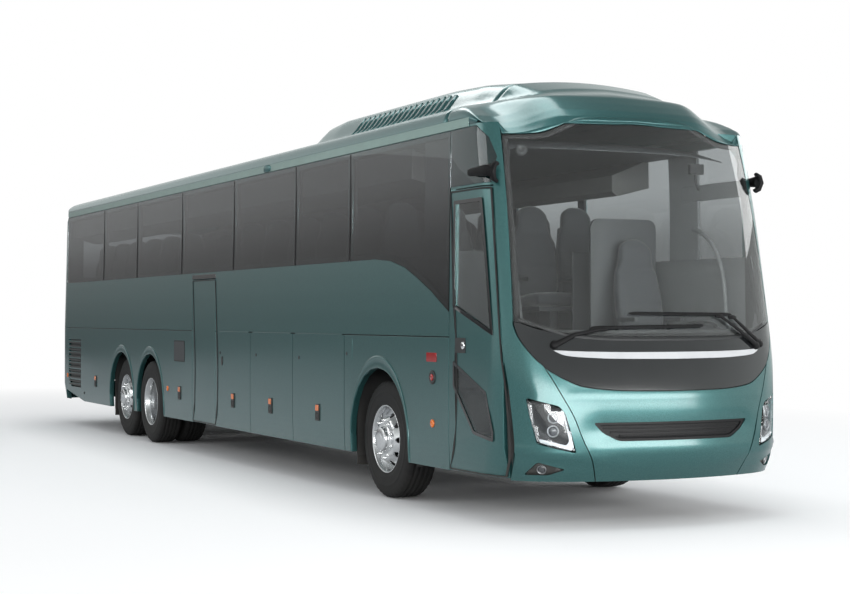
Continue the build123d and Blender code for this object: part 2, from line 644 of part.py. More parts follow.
# ---------------------------------------------------------------- front end
# outlines seen from the front, x and z, from the middle outwards
SCREEN = [(1180, 1575), (1000, 1520), (700, 1490), (0, 1478)]
SCREEN_TOP = [(0, 3185), (480, 3180), (640, 3120), (800, 3045), (1120, 3025)]
MASK_LOW = [(0, 1048), (600, 1052), (760, 1075), (890, 1130), (950, 1220), (1010, 1300), (1110, 1420),
            (1180, 1555)]
CORNER_SEAM = [(955, 1216), (905, 1124), (885, 900), (800, 640), (700, 355)]
HEAD = [(845, 585), (900, 560), (1080, 600), (1190, 720), (1215, 900), (1180, 1010), (1080, 960), (930, 800)]
FOG = [(600, 410), (760, 400), (900, 430), (800, 480), (640, 480)]
GRILLE = [(0, 700), (560, 715), (690, 812), (560, 822), (0, 800)]
GRILLE_BARS = (730, 756, 782)
TOW_X, TOW_Z, TOW_R = 480, 610, 18      # socket for a screw-in towing eye
TOW_Y0, TOW_Y1 = -7400, -7250
FRAME_T = 70                            # the carrier behind the front panels reaches in to here
PILLAR_X = 1120
PILLAR_Z = 1524                         # foot of the pillar covers


def front_cut(points):
    return prism_y(points, -7600, -6500)


def screen_outline(grow):
    right = [(x + (grow if x > 1100 else 0), z + grow) for x, z in SCREEN_TOP]
    right += [(x + (grow if x > 1100 else 0), z - grow) for x, z in SCREEN]
    return mirrored(right)


def mask_outline(grow):
    right = [(x + (grow if x > 900 else 0), z - grow) for x, z in MASK_LOW]
    right += [(x + (grow if x > 1100 else 0), z - 6 + grow) for x, z in SCREEN]
    return mirrored(right)


def side_outline(points, side):
    return [(side * x, z) for x, z in points]


def pillar_zone(side, x_in, z0, z1):
    """Everything ahead of the door or driver's window between two heights."""
    top = EAVE_Z - FIT
    if side < 0:
        edge = [(DOOR_Y0 - GAP, SKIRT_Z - 10), (DOOR_Y0 - GAP, DOOR_KNEE_Z), (DOOR_TOP_Y0 - GAP, DOOR_TOP_Z),
                (DOOR_TOP_Y0 - GAP, top)]
    else:
        edge = [(LEFT_FIRST_Y - GAP, SKIRT_Z - 10), (LEFT_FIRST_Y - GAP, top)]
    zone = prism_x(edge + [(-7600, top), (-7600, SKIRT_Z - 10)], side * x_in, side * 1400)
    return zone & block(side * x_in, side * 1400, -7600, -6000, z0, z1)


def make_bumper():
    side_edge = [(x - 3, z) for x, z in CORNER_SEAM[1:]]
    low = [(x, z - 6) for x, z in MASK_LOW if x <= 900]
    bumper = skin(front_cut(mirrored(low + side_edge)), 0, SKIN_T - FIT)
    bumper -= front_cut(mirrored(GRILLE))
    for side in (-1, 1):
        bumper -= front_cut(side_outline(FOG, side))
    bumper -= rod((TOW_X, -7600, TOW_Z), (TOW_X, -7000, TOW_Z), TOW_R + 6)
    for z in GRILLE_BARS:
        bar_half = 550 + (z - GRILLE_BARS[0]) * 1.5
        bumper += skin(block(-bar_half - 60, bar_half + 60, -7600, -7000, z, z + 12), 8, SKIN_T - FIT)
    save("front_bumper", bumper)


def make_corners():
    """Headlamp panels, pillar covers and the lamps themselves."""
    seam = [(x + 3, z) for x, z in CORNER_SEAM[::-1]]
    upper = [(1016, 1296), (1116, 1416), (1180, PILLAR_Z - 4), (1400, PILLAR_Z - 4), (1400, SKIRT_Z - 10)]
    panels, lamps = [], []
    for side in (-1, 1):
        y_end = DOOR_Y0 - GAP if side < 0 else LEFT_FIRST_Y - GAP
        panel = skin(prism_y(side_outline(seam + upper, side), -7600, y_end), 0, SKIN_T - FIT)
        for opening in (HEAD, FOG):
            panel -= front_cut(side_outline(opening, side))
        cover = skin(pillar_zone(side, PILLAR_X, PILLAR_Z, EAVE_Z), 0, SKIN_T - FIT)
        cover = cover - front_cut(screen_outline(3)) - front_cut(mask_outline(3))
        panels += [panel, cover]
        zone = block(side * 845, side * 1260, -7600, -6960, 500, 1100)
        lamps.append(skin(front_cut(side_outline(HEAD, side)) & zone, 4, SKIN_T - FIT))
        lamps.append(skin(front_cut(side_outline(FOG, side)), 6, SKIN_T - FIT))
    save("front_corners", panels)
    save("headlamps", lamps)


def make_carrier():
    """Pillars and lower beam behind the panels; the pillars carry the edges of the glass."""
    pieces = []
    for side in (-1, 1):
        glass_edge = skin(front_cut(screen_outline(0)), SCREEN_T + FIT, SKIN_T + 5)
        for z0, z1 in ((SKIRT_Z - 10, DOOR_KNEE_Z), (DOOR_KNEE_Z + FIT, EAVE_Z)):
            zone = pillar_zone(side, PILLAR_X, z0, z1)
            pillar = skin(zone, SKIN_T, FRAME_T) + (glass_edge & zone)
            pieces.append(pillar)
    beam_x = PILLAR_X - FIT
    beam = skin(prism_y([(-beam_x, 355), (beam_x, 355), (beam_x, 1540), (1000, 1500), (-1000, 1500),
                         (-beam_x, 1540)], -7600, -6950), SKIN_T, FRAME_T)
    beam -= front_cut([(-900, 680), (900, 680), (900, 900), (-900, 900)])
    beam += rod((TOW_X, TOW_Y0, TOW_Z), (TOW_X, TOW_Y1, TOW_Z), TOW_R + 16) & envelope(SKIN_T)
    beam -= rod((TOW_X, -7600, TOW_Z), (TOW_X, TOW_Y1 + 10, TOW_Z), TOW_R)
    save("front_frame", pieces, beam)


def make_front():
    save("windscreen", skin(front_cut(screen_outline(0)), 0, SCREEN_T))
    save("front_mask", skin(front_cut(mask_outline(0)), 0, SKIN_T - FIT))
    make_bumper()
    make_corners()
    make_carrier()


# ---------------------------------------------------------------- rear end
LID_Z0, LID_Z1, LID_X = 620, 1740, 880
REAR_GLASS_X, REAR_GLASS_Z0, REAR_GLASS_Z1 = 1010, 2160, 2960
TAIL_X0, TAIL_X1, TAIL_Z0, TAIL_Z1, TAIL_T = 960, 1120, 900, 1700, 25
LID_SLOTS = [820 + 85 * i for i in range(5)]


def make_rear():
    y0, y1 = SIDE_END_Y + FIT, 7700
    foot_z = FOOT_SWEEP[1][1]
    wall = skin(block(-1400, 1400, y0, y1, foot_z, EAVE_Z - FIT))
    save("rear_bumper", skin(block(-1400, 1400, y0, y1, SKIRT_Z, foot_z - FIT), 0, 70))
    wall -= block(-LID_X - GAP, LID_X + GAP, 7300, y1, LID_Z0 - GAP, LID_Z1 + GAP)
    x, z0, z1 = REAR_GLASS_X, REAR_GLASS_Z0, REAR_GLASS_Z1
    wall -= block(-x + RIM_IN, x - RIM_IN, 7200, y1, z0 + RIM_IN, z1 - RIM_IN)
    wall -= skin(block(-x - 4, x + 4, 7200, y1, z0 - 4, z1 + 4), 0, GLASS_T + FIT)
    lamps = []
    for side in (-1, 1):
        lamp = block(side * TAIL_X0, side * TAIL_X1, 7200, y1, TAIL_Z0, TAIL_Z1)
        bed = block(side * (TAIL_X0 - 3), side * (TAIL_X1 + 3), 7200, y1, TAIL_Z0 - 3, TAIL_Z1 + 3)
        wall -= skin(bed, 0, TAIL_T)
        lamps.append(skin(lamp, 0, TAIL_T - FIT))
    save("rear_wall", wall)
    save("rear_window", skin(block(-x, x, 7200, y1, z0, z1), 0, GLASS_T))
    save("tail_lamps", lamps)

    lid = skin(block(-LID_X, LID_X, 7300, y1, LID_Z0, LID_Z1), 0, FLAP_T)
    for z in LID_SLOTS:
        lid -= block(-620, 620, 7300, y1, z, z + 35)
    bead_y, bead_z = rear_y_at(LID_Z1) - 5, LID_Z1 + GAP / 2
    lid += block(-200, 200, bead_y - 2, bead_y + 2, LID_Z1 - 4, bead_z)
    lid += rod((-200, bead_y, bead_z), (200, bead_y, bead_z), BEAD_R)
    save("engine_lid", lid)
    upper = block(-RAIL_X - 40, RAIL_X + 40, ENGINE_Y0, ENGINE_Y1, CHASSIS_Z1 + FIT, 1290)
    save("engine_block", upper + block(-330, 330, ENGINE_Y0 + 200, ENGINE_Y1 - 100, 420, CHASSIS_Z1 + 5))


# ---------------------------------------------------------------- doors
DOOR_GLASS_TOP = [(DOOR_Y1 - 85, 2520), (DOOR_TOP_Y0 + 110, 2520), (DOOR_Y0 + 130, 1480),
                  (DOOR_Y1 - 85, 1690)]
DOOR_GLASS_LOW = [(-6150, 1230), (-6150, 1050), (-6500, 700), (-6800, 660), (-6800, 720), (-6700, 1010)]


def make_doors():
    x0, x1 = side_x(-1)
    leaf_outline = [(DOOR_Y1, DOOR_FOOT_Z), (DOOR_Y1, DOOR_TOP_Z), (DOOR_TOP_Y0, DOOR_TOP_Z),
                    (DOOR_Y0, DOOR_KNEE_Z), (DOOR_Y0, DOOR_FOOT_Z)]
    leaf = skin(prism_x(leaf_outline, x0, x1), 0, DOOR_T)
    glass = []
    for cut in (DOOR_GLASS_TOP, DOOR_GLASS_LOW):
        leaf -= prism_x(cut, x0, x1)
        glass.append(skin(prism_x(cut, x0, x1), 3, 3 + GLASS_T))
    mid = skin(block(x0, x1, MID_DOOR_Y0 + GAP / 2, MID_DOOR_Y1, DOOR_FOOT_Z, MID_DOOR_TOP_Z), 0, DOOR_T)
    save("door_front_glass", glass)
    # name, leaf, post x and y, way the arm runs from its post
    for name, shape, post_x, post_y, way in (
            ("front", leaf, -FRONT_POST_X, DOOR_Y0 + POST_INSET_FRONT, 1),
            ("mid", mid, -MID_POST_X, MID_DOOR_Y1 - POST_INSET_MID, -1)):
        end_x, end_y = post_x + ARM_INSET, post_y + way * ARM_LONG
        save(f"door_{name}", shape, door_lugs(end_x, end_y))
        save(f"door_{name}_arm", door_arm(post_x, post_y, end_x, end_y))


def door_lugs(x, y):
    """Forks on the inside of the leaf, each with its pin."""
    forks = []
    for z in ARM_LEVELS:
        fork = rod((x, y, z - 35), (x, y, z + 35), PIN_R)
        for z0 in (z - 35, z + 20):
            fork += block(-HALF_W + DOOR_T + FIT, x + 20, y - 20, y + 20, z0, z0 + 15)
        forks.append(fork)
    return forks


def door_arm(post_x, post_y, end_x, end_y):
    arm = rod((post_x, post_y, DOOR_FOOT_Z + 4), (post_x, post_y, ARM_LEVELS[1] + 60), POST_R)
    along = math.atan2(end_y - post_y, end_x - post_x)
    nx, ny = -math.sin(along) * 16, math.cos(along) * 16
    for z in ARM_LEVELS:
        corners = [(post_x + nx, post_y + ny), (end_x + nx, end_y + ny), (end_x - nx, end_y - ny),
                   (post_x - nx, post_y - ny)]
        arm += Solid.extrude(flat([(x, y, z - 14) for x, y in corners]), Vector(0, 0, 28))
        arm += bar((end_x, end_y, z - 14), (end_x, end_y, z + 14), 22, 8)
        arm -= rod((end_x, end_y, z - 20), (end_x, end_y, z + 20), PIN_R + PIN_RUN)
    return arm


# ---------------------------------------------------------------- saloon
SEAT_ROWS, SEAT_PITCH, FIRST_SEAT_Y = 14, 790, -4900
SEAT_IN_X, SEAT_OUT_X = 190, 1150
# seat and its pedestal seen from the side, y back from the front edge, z above the floor
SEAT_SIDE = [(150, 0), (0, 370), (0, 470), (410, 490), (500, 1300), (590, 1300), (500, 360), (320, 0)]
RACK = [(1230, 2790), (860, 2700), (800, 2740), (800, 2890), (1230, 3060)]
STEER_X, STEER_Y, STEER_Z = 670, -6690, 1330


def seat(x0, x1, y, floor_z):
    return prism_x([(y + a, floor_z + FIT + b) for a, b in SEAT_SIDE], x0, x1)


def make_saloon():
    seats = []
    for row in range(SEAT_ROWS):
        y = FIRST_SEAT_Y + row * SEAT_PITCH
        seats.append(seat(SEAT_IN_X, SEAT_OUT_X, y, FLOOR_Z))
        if not MID_DOOR_Y0 - 838 < y < MID_DOOR_Y1 + 102:
            seats.append(seat(-SEAT_OUT_X, -SEAT_IN_X, y, FLOOR_Z))
    seats.append(seat(STEER_X - 250, STEER_X + 250, STEER_Y + 370, DRIVER_Z))
    save("seats", seats)

    foot = DRIVER_Z + FIT
    dash = prism_x([(-6990, foot), (-6990, 1440), (-6800, 1480), (-6560, 1380), (-6540, 1180), (-6760, foot)],
                   -320, 1080)
    column = Plane(origin=(STEER_X, STEER_Y, STEER_Z), z_dir=(0, 0.45, 0.9))
    ring = turned([(136, 215), (150, 231), (164, 215), (150, 199)], column, 20, closed=True)
    wheel = ring + column * (Pos(0, 0, 150) * Box(420, 34, 18)) + turned([(138, 55), (162, 50)], column, 12)
    wheel += column * (Pos(0, 0, 105) * Cylinder(20, 90))
    save("steering_wheel", wheel)
    save("dashboard", dash - column * (Pos(0, 0, 90) * Cylinder(20 + FIT, 140)))

    screen_y = PLATFORM_Y1 + 100
    save("partition", [block(side * 330, side * 1120, screen_y, screen_y + 30, FLOOR_Z + FIT, 2180)
                       for side in (-1, 1)])
    save("luggage_racks", [prism_y(side_outline(RACK, side), -5200, 6900) & envelope(WALL_T + FIT)
                           for side in (-1, 1)])


# ---------------------------------------------------------------- fittings outside
# pivot x, arm's end x and z, blade ends x and z
WIPERS = [(-935, -575, 1512, (-660, 1520), (320, 1534)),
          (952, 560, 1612, (-344, 1629), (643, 1622))]
PIVOT_Z = 1390


def make_fittings():
    flaps = []
    for flap_y in (FRONT_AXLE_Y + HOUSE_HALF + FIT, BOGIE_Y + BOGIE_HALF + FIT):
        for side in (-1, 1):
            flaps.append(block(side * 920, side * 1190, flap_y, flap_y + 12, 240, 760))
    save("mud_flaps", flaps)

    arms = []
    for side in (-1, 1):
        arm = block(side * 1130, side * 1330, -6780, -6710, 2690, 2750)
        arm += block(side * 1280, side * 1345, -6880, -6600, 2690, 2745)
        arms.append(arm - envelope(-FIT))
    save("camera_arms", arms)

    wipers = []
    for pivot_x, arm_x, arm_z, (x0, z0), (x1, z1) in WIPERS:
        arm = [(pivot_x, PIVOT_Z - 16), (arm_x, arm_z - 8), (arm_x, arm_z + 8), (pivot_x, PIVOT_Z + 16)]
        blade = [(x0, z0 - 7), (x1, z1 - 7), (x1, z1 + 7), (x0, z0 + 7)]
        wipers.append(skin(prism_y(arm, -7700, -7000), -26, -1) + skin(prism_y(blade, -7700, -7000), -18, -1))
    save("wipers", wipers)


def main():
    os.makedirs("parts", exist_ok=True)
    make_wheels()
    make_axles()
    make_underbody()
    make_floors()
    save("side_glass", make_side(-1, "right"), make_side(1, "left"))
    make_skirts()
    make_flaps()
    make_roof()
    make_dome()
    make_front()
    make_rear()
    make_doors()
    make_saloon()
    make_fittings()


main()
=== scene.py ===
# %% [markdown]
# # A three-axle touring coach
# The real thing is fifteen metres of steel and aluminium sheet on a chassis, with a glass-fibre nose,
# bonded windows and a moulded roof pod. The measured solids are already there; this lesson gives
# them pressed skins, paint, glass, rubber and cloth. First the solids are loaded.

# %%
# Load the measured coach
import json
import math
import bmesh
import bpy
from mathutils import Matrix, Vector

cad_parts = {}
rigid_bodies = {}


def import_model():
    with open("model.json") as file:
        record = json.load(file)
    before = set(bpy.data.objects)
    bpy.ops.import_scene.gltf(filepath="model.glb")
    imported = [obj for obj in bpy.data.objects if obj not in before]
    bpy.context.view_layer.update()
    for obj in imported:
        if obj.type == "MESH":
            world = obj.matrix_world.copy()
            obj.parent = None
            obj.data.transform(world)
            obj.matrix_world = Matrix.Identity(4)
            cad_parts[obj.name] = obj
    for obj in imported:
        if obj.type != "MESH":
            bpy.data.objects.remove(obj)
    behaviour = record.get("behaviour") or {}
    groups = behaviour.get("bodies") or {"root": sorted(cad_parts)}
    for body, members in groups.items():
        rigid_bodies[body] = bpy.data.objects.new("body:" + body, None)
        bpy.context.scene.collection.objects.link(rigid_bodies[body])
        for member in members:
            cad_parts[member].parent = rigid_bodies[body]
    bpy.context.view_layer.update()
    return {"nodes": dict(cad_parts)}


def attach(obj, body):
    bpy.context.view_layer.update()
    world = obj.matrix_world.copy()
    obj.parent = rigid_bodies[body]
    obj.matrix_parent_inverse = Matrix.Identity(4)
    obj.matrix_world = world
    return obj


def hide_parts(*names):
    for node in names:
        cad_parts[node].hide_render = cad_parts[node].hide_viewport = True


for leftover in list(bpy.data.objects):
    bpy.data.objects.remove(leftover)
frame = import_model()
NODES = frame["nodes"]


# %% [markdown]
# ## Camera, lamps and floor
# A coach is lit in a hall with long soft lamps overhead, because its panels are mirrors: a point lamp
# would show as a dot, a long lamp draws the shoulder line. The backdrop is white for whatever looks
# straight at it, and a dim card that the camera doesn't see keeps the flat sides from washing out.

# %%
# Camera at the height of a standing person
scene = bpy.context.scene
camera = bpy.data.objects.new("camera", bpy.data.cameras.new("camera"))
scene.collection.objects.link(camera)
camera.location = (-7.201, -18.102, 1.602)
camera.rotation_euler = (math.pi / 2 + 0.012, 0, -0.443)
camera.data.lens, camera.data.sensor_width = 70.36, 36
scene.camera = camera
scene.view_settings.view_transform = "Standard"


# %%
# Small helpers to lay out shader nodes
def new_material(name):
    made = bpy.data.materials.new(name)
    made.use_nodes = True
    made.node_tree.nodes.clear()
    return made, made.node_tree


def add(tree, kind, **settings):
    """One node; values go to its input sockets by name, the rest to its own settings."""
    node = tree.nodes.new(kind)
    for key, value in settings.items():
        if hasattr(node, key):
            setattr(node, key, value)
        else:
            node.inputs[key.replace("_", " ")].default_value = value
    return node


def join(tree, out_socket, in_socket):
    tree.links.new(out_socket, in_socket)


# %%
# World: plain light for surfaces, white for the camera and for glass, a dimmer zenith for gloss
world = bpy.data.worlds.new("hall")
scene.world = world
world.use_nodes = True
tree = world.node_tree
tree.nodes.clear()
rays = add(tree, "ShaderNodeLightPath")
seen = add(tree, "ShaderNodeMath", operation="MAXIMUM")
light = add(tree, "ShaderNodeBackground", Color=(0.93, 0.97, 1.0, 1), Strength=0.55)
white = add(tree, "ShaderNodeBackground", Color=(1, 1, 1, 1), Strength=1.0)
way = add(tree, "ShaderNodeTexCoord")
parts = add(tree, "ShaderNodeSeparateXYZ")
gloom = add(tree, "ShaderNodeMapRange", From_Min=0.12, From_Max=0.75, To_Min=0.95, To_Max=0.22)
gloss = add(tree, "ShaderNodeBackground", Color=(0.95, 1.0, 0.99, 1))
first_mix = add(tree, "ShaderNodeMixShader")
mixed = add(tree, "ShaderNodeMixShader")
out = add(tree, "ShaderNodeOutputWorld")
join(tree, way.outputs["Generated"], parts.inputs[0])
join(tree, parts.outputs[2], gloom.inputs[0])
join(tree, gloom.outputs[0], gloss.inputs["Strength"])
join(tree, rays.outputs["Is Camera Ray"], seen.inputs[0])
join(tree, rays.outputs["Is Transmission Ray"], seen.inputs[1])
join(tree, rays.outputs["Is Glossy Ray"], first_mix.inputs[0])
join(tree, light.outputs[0], first_mix.inputs[1])
join(tree, gloss.outputs[0], first_mix.inputs[2])
join(tree, seen.outputs[0], mixed.inputs[0])
join(tree, first_mix.outputs[0], mixed.inputs[1])
join(tree, white.outputs[0], mixed.inputs[2])
join(tree, mixed.outputs[0], out.inputs[0])


# %%
# Lamps: name, centre, aimed at, size across and along, watts
LAMPS = [
    ("lamp_overhead", (0, -1, 10.5), (0, -1, 0), (3.2, 17), 620),
    ("lamp_front", (-0.5, -21, 3.2), (0, -6, 1.4), (27, 3.2), 2700),
    ("lamp_side", (-17, 2, 8), (0, 1, 1.5), (14, 4), 380),
    ("lamp_far_side", (16, -2, 8), (0, 0, 1.5), (14, 4), 500),
]
for name, place, target, size, watts in LAMPS:
    lamp = bpy.data.lights.new(name, "AREA")
    lamp.shape, lamp.size, lamp.size_y, lamp.energy = "RECTANGLE", size[0], size[1], watts
    holder = bpy.data.objects.new(name, lamp)
    holder.location = place
    holder.rotation_euler = (Vector(target) - Vector(place)).to_track_quat("-Z", "Y").to_euler()
    scene.collection.objects.link(holder)


# %%
# Objects from bmesh, and a pale floor
def make_object(name, bm, material=None):
    """Merge doubles, turn the faces outwards and put the mesh in the scene."""
    bmesh.ops.remove_doubles(bm, verts=bm.verts[:], dist=1e-5)
    bmesh.ops.recalc_face_normals(bm, faces=bm.faces[:])
    for face in bm.faces:
        face.smooth = True
    mesh = bpy.data.meshes.new(name)
    bm.to_mesh(mesh)
    bm.free()
    made = bpy.data.objects.new(name, mesh)
    scene.collection.objects.link(made)
    if material:
        mesh.materials.append(material)
    return made


floor_paint, tree = new_material("floor_pale")
rays = add(tree, "ShaderNodeLightPath")
place = add(tree, "ShaderNodeTexCoord")
flat_place = add(tree, "ShaderNodeVectorMath", operation="MULTIPLY")
flat_place.inputs[1].default_value = (0.55, 0.33, 0)
away = add(tree, "ShaderNodeVectorMath", operation="LENGTH")
fade = add(tree, "ShaderNodeMapRange", From_Min=2.2, From_Max=6.5)
seen = add(tree, "ShaderNodeMath", operation="MULTIPLY")
tone = add(tree, "ShaderNodeMix", data_type="RGBA")
tone.inputs[6].default_value = (0.62, 0.63, 0.64, 1)
tone.inputs[7].default_value = (1.0, 1.0, 1.0, 1)
shine = add(tree, "ShaderNodeBsdfPrincipled", Roughness=0.85)
shine.inputs["Specular IOR Level"].default_value = 0.1
backdrop_white = add(tree, "ShaderNodeEmission", Strength=1.0)
mixed = add(tree, "ShaderNodeMixShader")
out = add(tree, "ShaderNodeOutputMaterial")
join(tree, rays.outputs["Is Camera Ray"], tone.inputs[0])
join(tree, tone.outputs[2], shine.inputs["Base Color"])
join(tree, place.outputs["Object"], flat_place.inputs[0])
join(tree, flat_place.outputs[0], away.inputs[0])
join(tree, away.outputs["Value"], fade.inputs[0])
join(tree, fade.outputs[0], seen.inputs[0])
join(tree, rays.outputs["Is Camera Ray"], seen.inputs[1])
join(tree, seen.outputs[0], mixed.inputs[0])
join(tree, shine.outputs[0], mixed.inputs[1])
join(tree, backdrop_white.outputs[0], mixed.inputs[2])
join(tree, mixed.outputs[0], out.inputs[0])
bm = bmesh.new()
bmesh.ops.create_grid(bm, x_segments=1, y_segments=1, size=150)
floor = make_object("hall_floor", bm, floor_paint)

# %%
# A dim card beyond the rear: the sides mirror it, the camera never sees it
card_paint, tree = new_material("card_dim")
place = add(tree, "ShaderNodeTexCoord")
height = add(tree, "ShaderNodeSeparateXYZ")
fade = add(tree, "ShaderNodeMapRange", From_Min=0.0, From_Max=9.0, To_Min=0.02, To_Max=0.62)
glow = add(tree, "ShaderNodeEmission")
out = add(tree, "ShaderNodeOutputMaterial")
join(tree, place.outputs["Object"], height.inputs[0])
join(tree, height.outputs[2], fade.inputs[0])
join(tree, fade.outputs[0], glow.inputs["Strength"])
join(tree, glow.outputs[0], out.inputs[0])
for number, (x0, x1, y) in enumerate([(-46, -2.5, 42), (2.5, 46, 42)]):
    bm = bmesh.new()
    bmesh.ops.create_grid(bm, x_segments=1, y_segments=1, size=0.5)
    bmesh.ops.transform(bm, verts=bm.verts[:], matrix=Matrix.Translation(((x0 + x1) / 2, y, 4.5))
                        @ Matrix.Rotation(math.pi / 2, 4, "X") @ Matrix.Diagonal((x1 - x0, 9, 1, 1)))
    card = make_object(f"hall_card_{number}", bm, card_paint)
    card.visible_camera = card.visible_diffuse = card.visible_shadow = False
    card.visible_transmission = False

# %% [markdown]
# ## Finishes
# Every surface of a coach is a coat on something: metallic paint under clear lacquer, moulded plastic
# with a fine grain, rolled rubber, turned aluminium, woven wool plush. What they share (a fine grain
# and the film of dust that settles low down) is built once as a node group and placed in each
# material with its own values. Each pattern reads Object coordinates, so it stays put on its piece.

# %%
# Shared effect: fine grain, as a value round zero and as a height
def group_with(name, inputs, outputs):
    group = bpy.data.node_groups.new(name, "ShaderNodeTree")
    for label, kind, value in inputs:
        socket = group.interface.new_socket(label, in_out="INPUT", socket_type=kind)
        if value is not None:
            socket.default_value = value
    for label, kind in outputs:
        group.interface.new_socket(label, in_out="OUTPUT", socket_type=kind)
    return group, add(group, "NodeGroupInput"), add(group, "NodeGroupOutput")


VALUE, COLOUR = "NodeSocketFloat", "NodeSocketColor"
grain_group, gin, gout = group_with(
    "fine_grain", [("Scale", VALUE, 300.0), ("Middle", VALUE, 0.4), ("Swing", VALUE, 0.1)],
    [("Value", VALUE), ("Height", VALUE)])
place = add(grain_group, "ShaderNodeTexCoord")
noise = add(grain_group, "ShaderNodeTexNoise", Detail=3.0, Roughness=0.6)
spread = add(grain_group, "ShaderNodeMath", operation="MULTIPLY_ADD")
centred = add(grain_group, "ShaderNodeMath", operation="SUBTRACT")
centred.inputs[1].default_value = 0.5
join(grain_group, place.outputs["Object"], noise.inputs["Vector"])
join(grain_group, gin.outputs["Scale"], noise.inputs["Scale"])
join(grain_group, noise.outputs[0], centred.inputs[0])
join(grain_group, centred.outputs[0], spread.inputs[0])
join(grain_group, gin.outputs["Swing"], spread.inputs[1])
join(grain_group, gin.outputs["Middle"], spread.inputs[2])
join(grain_group, spread.outputs[0], gout.inputs["Value"])
join(grain_group, noise.outputs[0], gout.inputs["Height"])

# %%
# Shared effect: road dust, thick at the wheels and gone at the windows, in soft cloudy patches
dust_group, gin, gout = group_with(
    "road_dust", [("Colour", COLOUR, (0.5, 0.5, 0.5, 1)), ("Dust", COLOUR, (0.23, 0.21, 0.18, 1)),
                  ("Top", VALUE, 1.3), ("Amount", VALUE, 0.25)],
    [("Colour", COLOUR), ("Mask", VALUE)])
place = add(dust_group, "ShaderNodeTexCoord")
parts = add(dust_group, "ShaderNodeSeparateXYZ")
fall = add(dust_group, "ShaderNodeMapRange", From_Max=0.25, To_Min=0.0, To_Max=1.0)
cloud = add(dust_group, "ShaderNodeTexNoise", Scale=5.0, Detail=4.0)
mask = add(dust_group, "ShaderNodeMath", operation="MULTIPLY")
level = add(dust_group, "ShaderNodeMath", operation="MULTIPLY")
blend = add(dust_group, "ShaderNodeMix", data_type="RGBA")
join(dust_group, place.outputs["Object"], parts.inputs[0])
join(dust_group, place.outputs["Object"], cloud.inputs["Vector"])
join(dust_group, parts.outputs[2], fall.inputs[0])
join(dust_group, gin.outputs["Top"], fall.inputs["From Min"])
join(dust_group, fall.outputs[0], mask.inputs[0])
join(dust_group, cloud.outputs[0], mask.inputs[1])
join(dust_group, mask.outputs[0], level.inputs[0])
join(dust_group, gin.outputs["Amount"], level.inputs[1])
join(dust_group, level.outputs[0], blend.inputs[0])
join(dust_group, gin.outputs["Colour"], blend.inputs[6])
join(dust_group, gin.outputs["Dust"], blend.inputs[7])
join(dust_group, blend.outputs[2], gout.inputs["Colour"])
join(dust_group, level.outputs[0], gout.inputs["Mask"])


# %%
# A finish from those parts: colour, grain, gloss and dust are values; the shader stays here
def place_group(tree, group, **values):
    node = add(tree, "ShaderNodeGroup")
    node.node_tree = group
    for key, value in values.items():
        node.inputs[key].default_value = value
    return node


def finish(name, colour, rough=0.5, swing=0.1, grain=300.0, bump=0.0, dust=0.0, dust_top=1.3,
           metal=0.0, coat=0.0, second=None, patches=6.0, level=0.5, sheen=0.0):
    """Principled finish whose colour wanders between two tones and whose roughness has a grain."""
    made, tree = new_material(name)
    shine = add(tree, "ShaderNodeBsdfPrincipled", Metallic=metal)
    shine.inputs["Coat Weight"].default_value = coat
    shine.inputs["Coat Roughness"].default_value = 0.04
    shine.inputs["Specular IOR Level"].default_value = level
    shine.inputs["Sheen Weight"].default_value = sheen
    place = add(tree, "ShaderNodeTexCoord")
    wander = add(tree, "ShaderNodeTexNoise", Scale=patches, Detail=5.0)
    tones = add(tree, "ShaderNodeMix", data_type="RGBA")
    other = second or tuple(min(1, c * 1.25 + 0.004) for c in colour)
    tones.inputs[6].default_value = (*colour, 1)
    tones.inputs[7].default_value = (*other, 1)
    film = place_group(tree, dust_group, Top=dust_top - 0.25, Amount=dust)
    film.inputs["Top"].default_value = dust_top
    fine = place_group(tree, grain_group, Scale=grain, Middle=rough, Swing=swing)
    out = add(tree, "ShaderNodeOutputMaterial")
    join(tree, place.outputs["Object"], wander.inputs["Vector"])
    join(tree, wander.outputs[0], tones.inputs[0])
    join(tree, tones.outputs[2], film.inputs["Colour"])
    join(tree, film.outputs["Colour"], shine.inputs["Base Color"])
    join(tree, fine.outputs["Value"], shine.inputs["Roughness"])
    if bump:
        relief = add(tree, "ShaderNodeBump", Strength=0.6, Distance=bump)
        join(tree, fine.outputs["Height"], relief.inputs["Height"])
        join(tree, relief.outputs[0], shine.inputs["Normal"])
    join(tree, shine.outputs[0], out.inputs[0])
    return made


